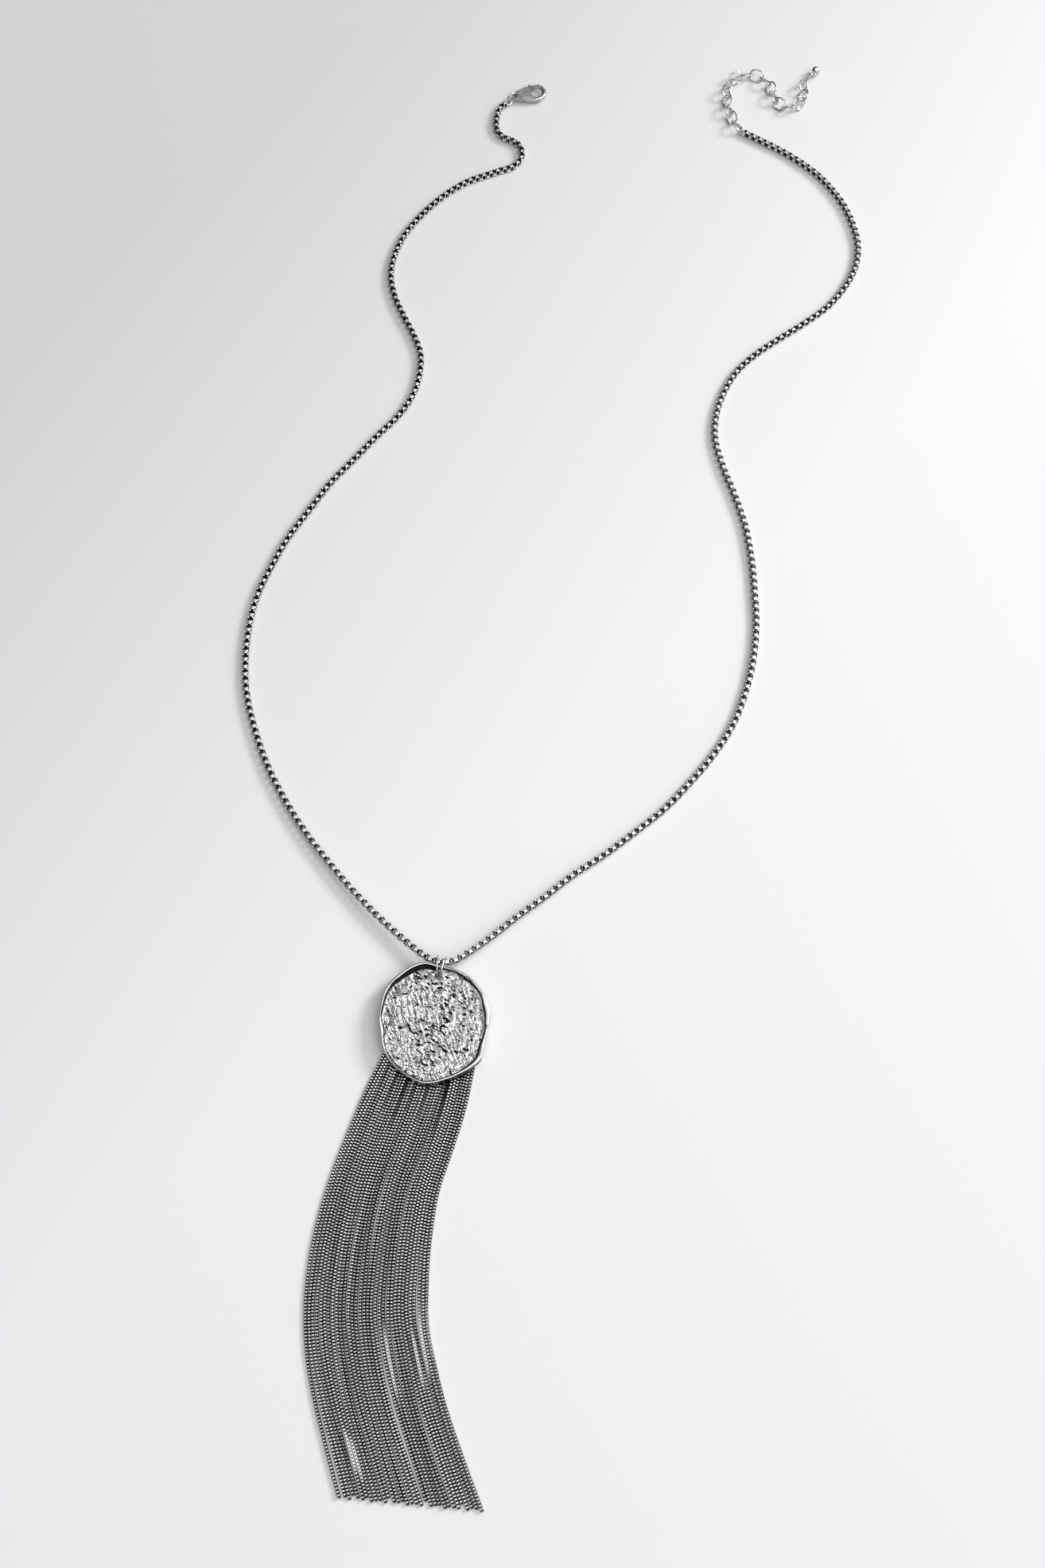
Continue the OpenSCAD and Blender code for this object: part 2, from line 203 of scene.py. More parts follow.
def remove(obj: Part) -> None:
    """Delete a pattern object that isn't part of the necklace."""
    pick(obj)
    bpy.ops.object.delete()


def smooth_by_angle(obj: Part, degrees: float) -> None:
    """Shade a piece smooth, with creases where its faces meet more sharply than an angle."""
    pick(obj)
    bpy.ops.object.shade_smooth_by_angle(angle=math.radians(degrees))


def mark(obj: Part, name: str, value: Callable[[Vector, Vector], float],
         domain: str = "POINT") -> None:
    """Store a value from 0 to 1 on every point or face, for a material to read.

    Args:
        obj: The mesh object.
        name: The attribute's name.
        value: Called with the place and normal of a point or of a face's middle.
        domain: POINT or FACE.
    """
    layer = obj.data.attributes.new(name, "FLOAT", domain)
    if domain == "FACE":
        for face, item in zip(obj.data.polygons, layer.data):
            item.value = value(face.center, face.normal)
    else:
        for vert, item in zip(obj.data.vertices, layer.data):
            item.value = value(vert.co, vert.normal)


# Curves through given points


def smooth_point(a: Vector, b: Vector, c: Vector, d: Vector, t: float) -> Vector:
    """Give the point between b and c of a smooth curve through four unevenly spaced points.

    Args:
        a: The point before the stretch.
        b: Where the stretch starts.
        c: Where it ends.
        d: The point after it.
        t: How far along the stretch, from 0 to 1.

    Returns:
        The point.
    """
    t1 = math.sqrt(max((b - a).length, 0.001))
    t2 = t1 + math.sqrt(max((c - b).length, 0.001))
    t3 = t2 + math.sqrt(max((d - c).length, 0.001))
    s = t1 + (t2 - t1) * t
    ab = a.lerp(b, s / t1)
    bc = b.lerp(c, (s - t1) / (t2 - t1))
    cd = c.lerp(d, (s - t2) / (t3 - t2))
    return ab.lerp(bc, s / t2).lerp(bc.lerp(cd, (s - t1) / (t3 - t1)), (s - t1) / (t2 - t1))


def even_curves(rows: Sequence[Sequence[float]], t: float) -> list[float]:
    """Give the values between the middle two of four evenly spaced rows, on smooth curves."""
    return [0.5 * (2 * b + (c - a) * t + (2 * a - 5 * b + 4 * c - d) * t * t
                   + (3 * b - a - 3 * c + d) * t * t * t) for a, b, c, d in zip(*rows)]


def drift(x: float, y: float, layer: float) -> float:
    """Give a smooth noise about 0 at a place of one layer."""
    return noise.noise(Vector((x, y, layer)))


def swell(u: float, first: float, last: float) -> float:
    """Rise from 0 at first to 1 halfway and sink back to 0 at last."""
    return math.sin(max(0.0, (u - first) / (last - first)) * math.pi) ** 0.5


def smooth_line(points: Sequence[tuple[float, float, float]], cuts: int) -> list[Vector]:
    """Give a smooth line through set points, with so many steps between two of them.

    Args:
        points: The set points, in millimetres.
        cuts: Steps between two of them.

    Returns:
        The line's points.
    """
    pts = [Vector(p) for p in points]
    pts = [2 * pts[0] - pts[1], *pts, 2 * pts[-1] - pts[-2]]
    line = [smooth_point(*pts[i:i + 4], k / cuts)
            for i in range(len(pts) - 3) for k in range(cuts)]
    return [*line, Vector(points[-1])]


def line_length(line: Sequence[Vector]) -> float:
    """Give the length of a line of points."""
    return sum((b - a).length for a, b in zip(line, line[1:]))


def guide(line: Sequence[Vector], tilts: Sequence[float] | None = None) -> Part:
    """Make the curve that a chain is bent along.

    Args:
        line: The chain's centre line, in millimetres.
        tilts: The roll about the line at each point, in radians.

    Returns:
        A curve object, to be removed once its chain is made.
    """
    data = bpy.data.curves.new("guide", "CURVE")
    data.dimensions = "3D"
    data.twist_mode = "Z_UP"
    spline = data.splines.new("POLY")
    spline.points.add(len(line) - 1)
    for i, (point, place) in enumerate(zip(spline.points, line)):
        point.co = (*(place * MM), 1)
        point.tilt = tilts[i] if tilts else 0
    return added("guide", data)


def lay_chain(pair: Part, line: Sequence[Vector], period: float, name: str,
              tilts: Sequence[float] | None = None) -> Part:
    """Repeat a pair of links along a line.

    Args:
        pair: Two links, the first centred on the origin, along X, in metres.
        line: The chain's centre line, in millimetres.
        period: The length that a pair takes, in millimetres.
        name: The chain's name.
        tilts: The roll about the line at each point, in radians.

    Returns:
        The chain.
    """
    length = line_length(line)
    count = max(1, round(length / period))
    stretch = length / (count * period)
    chain = twin(pair, name, Matrix.Translation((period * MM * 0.25 * stretch, 0, 0))
                 @ Matrix.Diagonal((stretch, 1, 1, 1)))
    array = chain.modifiers.new("repeat", "ARRAY")
    array.use_relative_offset = False
    array.use_constant_offset = True
    array.constant_offset_displace = (period * MM * stretch, 0, 0)
    array.count = count
    bend = chain.modifiers.new("lay", "CURVE")
    path = guide(line, tilts)
    bend.object = path
    apply_all(chain)
    remove(path)
    return chain


# Materials

# Scale of the metal's fine grain, per metre
GRAIN_SCALE = 4000.0


def adder(tree: Tree) -> Callable:
    """Give a function that adds a node to a tree, sets its options and fills its inputs.

    Args:
        tree: The node tree.

    Returns:
        The function.
    """

    def add(kind: str, inputs: dict | None = None, **options: object) -> bpy.types.Node:
        """Add a node.

        Args:
            kind: The node's type.
            inputs: Values or sockets for its inputs, by name or number.
            **options: Its settings.

        Returns:
            The node.
        """
        node = tree.nodes.new(kind)
        for option, value in options.items():
            setattr(node, option, value)
        for key, value in (inputs or {}).items():
            if isinstance(value, Socket):
                tree.links.new(value, node.inputs[key])
            else:
                node.inputs[key].default_value = value
        return node

    return add


def node_group(name: str, inputs: dict[str, float],
               outputs: Sequence[str]) -> tuple[Tree, Callable]:
    """Start a shader node group whose sockets all carry numbers.

    Args:
        name: The group's name.
        inputs: Each input's name and default.
        outputs: The outputs' names.

    Returns:
        The group's tree and a function that adds a node to it.
    """
    tree = bpy.data.node_groups.new(name, "ShaderNodeTree")
    for title, start in inputs.items():
        socket = tree.interface.new_socket(title, in_out="INPUT", socket_type="NodeSocketFloat")
        socket.default_value = start
    for title in outputs:
        tree.interface.new_socket(title, in_out="OUTPUT", socket_type="NodeSocketFloat")
    return tree, adder(tree)


def blank(name: str) -> tuple[Material, Callable, Sequence[Socket]]:
    """Start a material, and give it, a function that adds a node to it, and its shader's inputs.

    Args:
        name: The material's name.

    Returns:
        The material, the function and the inputs.
    """
    made = bpy.data.materials.new(name)
    made.use_nodes = True
    return made, adder(made.node_tree), made.node_tree.nodes["Principled BSDF"].inputs


def ramp(add: Callable, value: Socket, low: float, high: float, start: float | Socket = 0.0,
         end: float | Socket = 1.0) -> Socket:
    """Turn a value that runs from low to high into one from start to end, held at both ends."""
    return add("ShaderNodeMapRange", {0: value, 1: low, 2: high, 3: start, 4: end}).outputs[0]


def maths(add: Callable, operation: str, *values: float | Socket, **options: object) -> Socket:
    """Work out a sum with one node, and give its result."""
    return add("ShaderNodeMath", dict(enumerate(values)), operation=operation, **options).outputs[0]


def blend(add: Callable, share: Socket, first: Colour | Socket, second: Colour | Socket) -> Socket:
    """Go from the first colour to the second, by a share from 0 to 1."""
    ends = [(*end, 1) if isinstance(end, tuple) else end for end in (first, second)]
    return add("ShaderNodeMix", {0: share, 6: ends[0], 7: ends[1]}, data_type="RGBA").outputs[2]


def marked(add: Callable, name: str) -> Socket:
    """Give the value that the mesh is marked with."""
    return add("ShaderNodeAttribute", attribute_name=name, attribute_type="GEOMETRY").outputs["Fac"]


def noisy(add: Callable, place: Socket, scale: float | Socket, detail: float,
          roughness: float = 0.5, distortion: float = 0.0) -> Socket:
    """Give a noise that varies with the place.

    Args:
        add: Adds a node to the tree.
        place: Where the noise is read.
        scale: Its scale, per metre.
        detail: How many finer layers it has.
        roughness: How strong those are.
        distortion: How far it is bent.

    Returns:
        The noise, about 0.5.
    """
    return add("ShaderNodeTexNoise", {
        "Vector": place, "Scale": scale, "Detail": detail, "Roughness": roughness,
        "Distortion": distortion}).outputs["Fac"]


def bump(add: Callable, height: Socket, depth: float, under: Socket | None = None) -> Socket:
    """Give the normal of a surface with a height, times a depth in metres, on another normal.

    Args:
        add: Adds a node to the tree.
        height: The height, about 0 to 1.
        depth: What a height of 1 stands for, in metres.
        under: The normal that it starts from, if not the mesh's.

    Returns:
        The normal.
    """
    inputs = {"Height": height, "Distance": depth, "Strength": 1.0}
    if under:
        inputs["Normal"] = under
    return add("ShaderNodeBump", inputs).outputs["Normal"]


def stretched(add: Callable, place: Socket, degrees: float, times: float) -> Socket:
    """Stretch a place along one direction on the surface, so that a pattern runs that way.

    Args:
        add: Adds a node to the tree.
        place: The place to stretch.
        degrees: The direction, from +X towards +Y.
        times: How many times longer a pattern gets.

    Returns:
        The stretched place.
    """
    return add("ShaderNodeMapping",
               {"Vector": place, "Rotation": (0, 0, math.radians(degrees)), "Scale": (times, 1, 1)},
               vector_type="TEXTURE").outputs[0]


def shade_and_tarnish_group() -> Tree:
    """Build the group that tells bright metal from dark: shade painted by attribute, and cloudy wear.

    Returns:
        A group with the inputs Scale and Cloud and the output Dark.
    """
    tree, add = node_group("shade_and_tarnish", {"Scale": 600.0, "Cloud": 0.2}, ["Dark"])
    ports = add("NodeGroupInput").outputs
    place = add("ShaderNodeTexCoord").outputs["Object"]
    cloud = noisy(add, place, ports["Scale"], 3.0, 0.6)
    veil = maths(add, "MULTIPLY", ramp(add, cloud, 0.45, 0.75), ports["Cloud"])
    # Shade painted on the mesh, in hollows and on faces that would reflect dark surroundings, plus
    # cloudy wear
    dark = maths(add, "ADD", marked(add, "painted_shade"), veil, use_clamp=True)
    add("NodeGroupOutput", {"Dark": dark})
    return tree


def grain_group() -> Tree:
    """Build the group that gives metal its fine surface: a bump height and a roughness.

    Returns:
        A group with the inputs Low and High and the outputs Height and Roughness.
    """
    tree, add = node_group("metal_grain", {"Low": 0.15, "High": 0.3}, ["Height", "Roughness"])
    ports = add("NodeGroupInput").outputs
    place = add("ShaderNodeTexCoord").outputs["Object"]
    fine = noisy(add, place, GRAIN_SCALE, 2.0)
    rough = ramp(add, fine, 0.3, 0.7, ports["Low"], ports["High"])
    add("NodeGroupOutput", {"Height": fine, "Roughness": rough})
    return tree


def beaten_group() -> Tree:
    """Build the group that gives beaten silver its fine wrinkles and small black pits.

    The wrinkles run from the upper left to the lower right across the coin's face, and the pits
    lie at a flatter slant and gather in crowds.

    Returns:
        A group with the input Smooth and the outputs Height and Dark.
    """
    tree, add = node_group("beaten", {"Smooth": 0.0}, ["Height", "Dark"])
    bare = maths(add, "SUBTRACT", 1.0, add("NodeGroupInput").outputs["Smooth"])
    place = add("ShaderNodeTexCoord").outputs["Object"]
    folds = noisy(add, stretched(add, place, -54, 3.6), 760.0, 4.0, 0.6, 0.1)
    grit = noisy(add, stretched(add, place, -30, 2.4), 1500.0, 1.5)
    edge = ramp(add, noisy(add, place, 130.0, 2.0), 0.4, 0.62, 0.35, 0.44)
    hollow = ramp(add, maths(add, "SUBTRACT", edge, grit), 0.0, 0.03)
    ridge = maths(add, "ABSOLUTE", maths(add, "SUBTRACT", folds, 0.5))
    rough = maths(add, "MULTIPLY_ADD", grit, 0.22, maths(add, "MULTIPLY", ridge, 1.6))
    add("NodeGroupOutput", {"Height": maths(add, "MULTIPLY", rough, bare),
                            "Dark": maths(add, "MULTIPLY", hollow, bare)})
    return tree


@dataclass(frozen=True)
class MetalFinish:
    """One finish of the metal.

    Attributes:
        name: The material's name.
        bright: The metal's own colour, where no shade is painted and it isn't tarnished.
        dark: Colour where shade is painted, in hollows and on faces that would reflect dark
            surroundings, and where it is tarnished.
        rough: Roughness from the smoothest to the roughest spot.
        bump: Depth of the grain, in metres.
        cloud: How much cloudy tarnishing there is.
        cloud_scale: Scale of the clouds, per metre.
        polished: Colour where the piece is marked as polished, if it is anywhere.
        polished_rough: Roughness there.
        beaten: Depth of the beaten wrinkles, in metres, elsewhere.
    """

    name: str
    bright: Colour
    dark: Colour
    rough: tuple[float, float]
    bump: float = 0.00002
    cloud: float = 0.2
    cloud_scale: float = 300.0
    polished: Colour | None = None
    polished_rough: float = 0.08
    beaten: float = 0.0

    def material(self) -> Material:
        """Build the finish's material.

        Returns:
            The material.
        """
        made, add, inputs = blank(self.name)
        inputs["Metallic"].default_value = 1.0
        dark = add("ShaderNodeGroup", {"Scale": self.cloud_scale, "Cloud": self.cloud},
                   node_tree=GROUPS["shade_and_tarnish"]).outputs["Dark"]
        grain = add("ShaderNodeGroup", {"Low": self.rough[0], "High": self.rough[1]},
                    node_tree=GROUPS["grain"])
        rough = grain.outputs["Roughness"]
        unshaded_colour = self.bright
        under = None
        if self.polished:
            share = marked(add, "polish")
            beaten = add("ShaderNodeGroup", {"Smooth": share}, node_tree=GROUPS["beaten"])
            dark = maths(add, "MAXIMUM", dark, beaten.outputs["Dark"])
            unshaded_colour = blend(add, share, self.bright, self.polished)
            rough = add("ShaderNodeMix", {0: share, 2: rough, 3: self.polished_rough},
                        data_type="FLOAT").outputs[0]
            under = bump(add, beaten.outputs["Height"], self.beaten)
        link = made.node_tree.links.new
        # The dark colour goes where shade is painted and where the metal is tarnished
        link(blend(add, dark, unshaded_colour, self.dark), inputs["Base Color"])
        link(rough, inputs["Roughness"])
        link(bump(add, grain.outputs["Height"], self.bump, under), inputs["Normal"])
        return made


GROUPS: dict[str, Tree] = {}

# The dark colours stand for painted shade where a mesh is marked with it, and for cloudy tarnishing
CHAIN_SILVER = MetalFinish("chain_silver", (0.9, 0.9, 0.89), (0.015, 0.015, 0.017), (0.14, 0.24))
COIN_SILVER = MetalFinish("coin_silver", (0.6, 0.591, 0.608), (0.01, 0.01, 0.012), (0.16, 0.3),
                          polished=(0.72, 0.71, 0.69), beaten=0.0008, cloud=0.12,
                          cloud_scale=400.0)
FRINGE_SILVER = MetalFinish("fringe_silver", (0.88, 0.87, 0.86), (0.002, 0.002, 0.003), (0.2, 0.3),
                            cloud=0.06)
FITTING_SILVER = MetalFinish("fitting_silver", (0.62, 0.61, 0.6), (0.02, 0.02, 0.022), (0.1, 0.18),
                             bump=0.000004, cloud=0.75, cloud_scale=450.0)
RING_SILVER = MetalFinish("ring_silver", (0.8, 0.79, 0.78), (0.02, 0.02, 0.022), (0.08, 0.16),
                          bump=0.000004, cloud=1.0, cloud_scale=700.0)


class Slot(Enum):
    """Names of the record's material slots for the pieces made here; the code doesn't use them."""

    NECK_CHAIN = "neck_chain_metal"
    COIN = "coin_metal"
    FRINGE = "fringe_metal"


def dress(obj: Part, material: Material, body: str = "root",
          replaces: Sequence[str] = ()) -> None:
    """Finish a piece: give it its material and its body.

    Args:
        obj: The piece.
        material: Its finish.
        body: The body that it rides on.
        replaces: The CAD nodes that it stands for.
    """
    obj.data.materials.clear()
    obj.data.materials.append(material)
    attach(obj, body)
    if replaces:
        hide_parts(*replaces)
    LOG.info("%s: %d faces, rides on %s", obj.name, len(obj.data.polygons), body)


# The necklace

# A face counts as facing a direction when its normal has at least this share along it
FACING = 0.7
# Rings of points from the coin's back, over its lip, to the foot of the lip's inner slope
RIM_RINGS = 14


@dataclass
class BoxLink:
    """A link bent from a band into a square ring.

    Attributes:
        width: Across the chain, in millimetres.
        length: Along the chain.
        band: Width of the band.
        wall: Thickness of the band.
        crown: How far the band's middle stands proud of its edges.
        sides: Sides of the ring.
        corner: How far out its corners start, as a share of the half width or length.
    """

    width: float
    length: float
    band: float
    wall: float
    crown: float = 0.0
    sides: int = 8
    corner: float = 0.5

    def build(self, name: str) -> Part:
        """Model the link about the origin, with its opening along Y.

        Args:
            name: The link's name.

        Returns:
            The link.
        """
        bpy.ops.mesh.primitive_cylinder_add(
            vertices=self.sides, radius=0.5 * MM, depth=self.band * MM, end_fill_type="NOTHING",
            rotation=(math.pi / 2, math.pi / self.sides, 0))
        link = named(name)
        settle(link)
        half_x = self.length / 2 * MM
        half_z = self.width / 2 * MM
        # The ends of a six-sided ring are points, and those of an eight-sided one are flat
        tip = 0 if self.sides == 6 else self.corner
        for vert in link.data.vertices:
            along = abs(vert.co.x) > abs(vert.co.z)
            vert.co.x = math.copysign(half_x * (1 if along else self.corner), vert.co.x)
            vert.co.z = math.copysign(half_z * (tip if along else 1), vert.co.z)
        if self.crown:
            with editing(link):
                bpy.ops.mesh.select_all(action="SELECT")
                bpy.ops.mesh.bisect(plane_co=(0, 0, 0), plane_no=(0, 1, 0))
                select_verts(link, lambda p: abs(p.y) < 0.01 * MM)
                bpy.ops.transform.resize(value=(1 + 2 * self.crown / self.length, 1,
                                                1 + 2 * self.crown / self.width))
        wall = link.modifiers.new("wall", "SOLIDIFY")
        wall.thickness = self.wall * MM
        wall.offset = -1 if self.outwards(link) else 1
        apply_all(link)
        return link

    def shade(self, pair: Part, pitch: float, shades: Sequence[float]) -> None:
        """Mark how much shade is painted on each face of a pair of links.

        Args:
            pair: The two links.
            pitch: Distance between the two, in millimetres.
            shades: For plates, for the ends next to them, for the band's edges, for the edges near
                the link's corners, and for insides.
        """
        plate, end, edge, corner, inside = shades

        def shade_at(place: Vector, normal: Vector) -> float:
            """Give how much shade is painted on a face.

            Args:
                place: The face's middle, in metres.
                normal: Its normal.

            Returns:
                From 0, no painted shade, to 1, black.
            """
            x, y, z = place / MM
            way = normal.copy()
            if x > pitch / 2:
                x, y, z = x - pitch, z, y
                way = Vector((normal.x, normal.z, normal.y))
            # Painted shade: dark inside, where shade falls, and on edges and ends that would reflect
            # dark surroundings
            if abs(way.y) > FACING:
                return corner if abs(x) > self.length * 0.2 and abs(z) > self.width * 0.3 else edge
            if x * way.x + z * way.z < 0:
                return inside
            return plate if abs(way.z) > FACING else end

        mark(pair, "painted_shade", shade_at, "FACE")

    @staticmethod
    def outwards(link: Part) -> bool:
        """Tell whether the band's faces point away from the link's middle."""
        face = link.data.polygons[0]
        return Vector((face.center.x, 0, face.center.z)).dot(face.normal) > 0

    def pair(self, pitch: float, name: str, shades: Sequence[float]) -> Part:
        """Model two links, the second a quarter turn round the chain's line from the first.

        Args:
            pitch: Distance between the two, in millimetres.
            name: The pair's name.
            shades: The shade painted on its faces, for shade.

        Returns:
            The pair, with the first link's middle at the origin.
        """
        first = self.build(name)
        place = Matrix.Translation((pitch * MM, 0, 0)) @ Matrix.Rotation(math.pi / 2, 4, "X")
        both = fuse([first, twin(first, name + "_turned", place)], name)
        self.shade(both, pitch, shades)
        return both


@dataclass
class NeckChain:
    """The neck chain: box links between two small loops.

    Attributes:
        width: Across the chain, in millimetres.
        period: Length that two links take.
        loop_radius: Of the loops' wire, to its centre line.
        loop_wire: Diameter of the loops' wire.
        groove: Where a loop's wire ends meet, in degrees from the chain's side.
        start_loop: Middle of the loop at the clasp.
        end_loop: Middle of the loop at the extender.
        end_roll: Roll of that loop from lying flat, in degrees.
    """

    width: float = 1.9
    period: float = 2.54
    loop_radius: float = 1.15
    loop_wire: float = 0.5
    groove: float = 150.0
    start_loop: tuple[float, float, float] = (-18.8, 224.5, 1.1)
    end_loop: tuple[float, float, float] = (61.7, 212.0, 1.6)
    end_roll: float = 40.0

    def loop(self, name: str, centre: Sequence[float], towards: Vector, roll: float) -> Part:
        """Model the loop at an end of the chain, with the fine groove where its wire's ends meet.

        Args:
            name: The loop's name.
            centre: Its middle, in millimetres.
            towards: The chain's end, in millimetres.
            roll: Its roll from lying flat, in degrees.

        Returns:
            The loop.
        """
        bpy.ops.mesh.primitive_torus_add(
            major_segments=32, minor_segments=10, major_radius=self.loop_radius * MM,
            minor_radius=self.loop_wire / 2 * MM)
        loop = named(name)
        turn = math.radians(self.groove)
        middle = Vector((math.cos(turn), math.sin(turn), 0)) * self.loop_radius * MM
        side = Vector((-math.sin(turn), math.cos(turn), 0))
        with editing(loop):
            for shift in (-0.05, 0, 0.05):
                bpy.ops.mesh.select_mode(type="VERT")
                bpy.ops.mesh.select_all(action="SELECT")
                bpy.ops.mesh.bisect(plane_co=middle + side * shift * MM, plane_no=side,
                                    threshold=0.001 * MM)
                bpy.ops.mesh.select_all(action="DESELECT")
            select_verts(loop, lambda p: abs((p - middle).dot(side)) < 0.005 * MM
                         and (p - middle).length < self.loop_wire * MM)
            bpy.ops.transform.resize(value=(0.84, 0.84, 0.84), center_override=middle)
        centre = Vector(centre)
        turn = math.atan2(towards.y - centre.y, towards.x - centre.x)
        loop.data.transform(Matrix.Translation(centre * MM) @ Matrix.Rotation(turn, 4, "Z")
                            @ Matrix.Rotation(math.radians(roll), 4, "X"))
        smooth_by_angle(loop, 40)
        return loop

    def build(self, material: Material) -> None:
        """Build the chain and its end loops as one piece.

        Args:
            material: The chain's finish.
        """
        line = smooth_line(NECK_ROUTE, 10)
        # Shade painted on the ends, edges and insides; none on the plates and little at the corners
        pair = BoxLink(width=self.width, length=1.9, band=1.1, wall=0.34, crown=0.12).pair(
            self.period / 2, "neck_link", (0.0, 0.7, 1.0, 0.1, 1.0))
        chain = lay_chain(pair, line, self.period, "neck_chain_links")
        remove(pair)
        smooth_by_angle(chain, 40)
        piece = fuse([chain, self.loop("start_loop", self.start_loop, line[0], 0),
                      self.loop("end_loop", self.end_loop, line[-1], self.end_roll)],
                     "neck_chain_links")
        dress(piece, material, replaces=["neck_chain_left", "neck_chain_right"])


@dataclass
class Coin:
    """The coin with its beaten face and polished lip, and the clamp under it.

    Attributes:
        centre: The coin's middle, in millimetres.
        hole: The hole's middle, from the coin's.
        hole_d: The hole's diameter.
        back_z: Height of the back above the surface.
        thick: From the back to the face.
        lip: Height of the lip above the face.
        around: Points round the coin.
        face_rings: Rings of points from the foot of the lip to the middle.
    """

    centre: tuple[float, float] = (-39.0, -105.5)
    hole: tuple[float, float] = (1.0, 13.8)
    hole_d: float = 2.3
    back_z: float = 2.0
    thick: float = 1.6
    lip: float = 0.7
    around: int = 440
    face_rings: int = 96

    @staticmethod
    def outline(angle: float) -> list[float]:
        """Give the outer radius, lip width and slope width at an angle in degrees.

        Args:
            angle: From +X towards +Y.

        Returns:
            The three, in millimetres.
        """
        place = (angle % 360) / 10
        i = int(place)
        n = len(COIN_OUTLINE)
        return even_curves([COIN_OUTLINE[(i + k) % n] for k in (-1, 0, 1, 2)], place - i)

    def relief(self, x: float, y: float) -> float:
        """Give the beaten face's height at a place, in millimetres from its base level.

        Args:
            x: Across the frame, in millimetres.
            y: Along it, in millimetres.

        Returns:
            The height.
        """
        # The grain runs from the upper left to the lower right
        along = x * 0.5 - y * 0.87
        across = x * 0.87 + y * 0.5
        sway = 0.5 * drift(along * 0.2, across * 0.2, 1.7)
        hill = drift(along * 0.2, across * 0.3, 5.2)
        ridges = 1 - 2 * abs(drift(along * 0.22 + sway, across * 0.8 + sway, 3.1))
        wrinkles = 1 - 2 * abs(drift(along * 0.5 - sway, across * 1.7, 8.4))
        return 0.16 * hill + 0.17 * (ridges - 0.6) + 0.06 * (wrinkles - 0.6) - 0.06

    def ring_place(self, angle: float, ring: int) -> Vector:
        """Give the place of a point of the rim's ring at an angle in degrees, in millimetres.

        Args:
            angle: From +X towards +Y.
            ring: The ring's number, from the back's edge up and inwards.

        Returns:
            The place.
        """
        radius, lip_w, slope_w = self.outline(angle)
        top = self.back_z + self.thick
        high = top + self.lip
        foot = lip_w + slope_w
        rim = [
            (0.35, self.back_z), (0.1, self.back_z + 0.1), (0, self.back_z + 0.35),
            (0, (self.back_z + high) / 2), (0, high - 0.3), (0.08, high - 0.09), (0.25, high),
            (0.25 + (lip_w - 0.25) * 0.5, high + 0.02), (lip_w - 0.05, high - 0.02),
            (lip_w + 0.03, high - 0.1), (lip_w + 0.1, high - 0.2),
            (lip_w + slope_w * 0.5, high - 0.45), (foot - 0.08, top + 0.08), (foot, top)]
        if ring < RIM_RINGS:
            inset, z = rim[ring]
        else:
            share = (ring - RIM_RINGS + 1) / (self.face_rings + 1)
            inset, z = foot + (radius - foot) * share, top
        turn = math.radians(angle)
        return Vector((self.centre[0] + (radius - inset) * math.cos(turn),
                       self.centre[1] + (radius - inset) * math.sin(turn), z))

    def disc(self) -> Part:
        """Model the coin: a flat back drawn up and in to the rim, and a beaten face inside it.

        Returns:
            The coin, before its hole is cut.
        """
        middle = Vector((*self.centre, self.back_z)) * MM
        bpy.ops.mesh.primitive_circle_add(vertices=self.around, radius=16 * MM, fill_type="NGON",
                                          location=middle)
        coin = named("coin_disc")
        settle(coin)
        with editing(coin):
            bpy.ops.mesh.select_mode(type="FACE")
            bpy.ops.mesh.select_all(action="SELECT")
            for ring in range(RIM_RINGS + self.face_rings):
                if ring:
                    bpy.ops.mesh.extrude_region_move()
                mesh = bmesh.from_edit_mesh(coin.data)
                for vert in mesh.verts:
                    if vert.select:
                        angle = math.degrees(math.atan2(vert.co.y - middle.y, vert.co.x - middle.x))
                        vert.co = self.ring_place(angle, ring) * MM
                bmesh.update_edit_mesh(coin.data)
            bpy.ops.mesh.poke()
            bpy.ops.mesh.select_all(action="SELECT")
            bpy.ops.mesh.normals_make_consistent(inside=False)
        self.beat(coin)
        return coin

    def beat(self, coin: Part) -> None:
        """Raise and sink the face inside the rim, growing over 0.8 mm from its foot.

        Args:
            coin: The coin.
        """
        top = self.back_z + self.thick
        for vert in coin.data.vertices:
            _, inset, rim, _ = self.place_in(vert.co)
            if inset > rim and vert.co.z > (top - 0.3) * MM:
                share = min((inset - rim) / 0.8, 1.0)
                vert.co.z = (top + self.relief(vert.co.x / MM, vert.co.y / MM) * share) * MM

    def pierce(self, coin: Part) -> None:
        """Cut the hole for the two rings.

        Args:
            coin: The coin.
        """
        x = self.centre[0] + self.hole[0]
        y = self.centre[1] + self.hole[1]
        bpy.ops.mesh.primitive_cylinder_add(vertices=40, radius=self.hole_d / 2 * MM, depth=8 * MM,
                                            location=(x * MM, y * MM, 3 * MM))
        drill = named("drill")
        cut = coin.modifiers.new("hole", "BOOLEAN")
        cut.operation = "DIFFERENCE"
        cut.object = drill
        apply_all(coin)
        remove(drill)

    def clamp(self) -> Part:
        """Model the channel under the coin that holds the fringe's head.

        Returns:
            The clamp.
        """
        head = Head()
        room = 0.5
        size = Vector((head.length + 2 * room, head.depth + room, self.back_z + 0.1))
        bpy.ops.mesh.primitive_cube_add(size=1)
        clamp = named("fringe_clamp")
        clamp.scale = size * MM
        settle(clamp)
        with editing(clamp):
            select_faces(clamp, lambda normal: normal.y < -FACING)
            bpy.ops.mesh.inset(thickness=0.4 * MM)
            bpy.ops.mesh.extrude_region_move(
                TRANSFORM_OT_translate={"value": (0, head.depth * MM, 0)})
        clamp.data.transform(head.place() @ Matrix.Translation(
            Vector((0, room / 2, size.z / 2)) * MM))
        return clamp

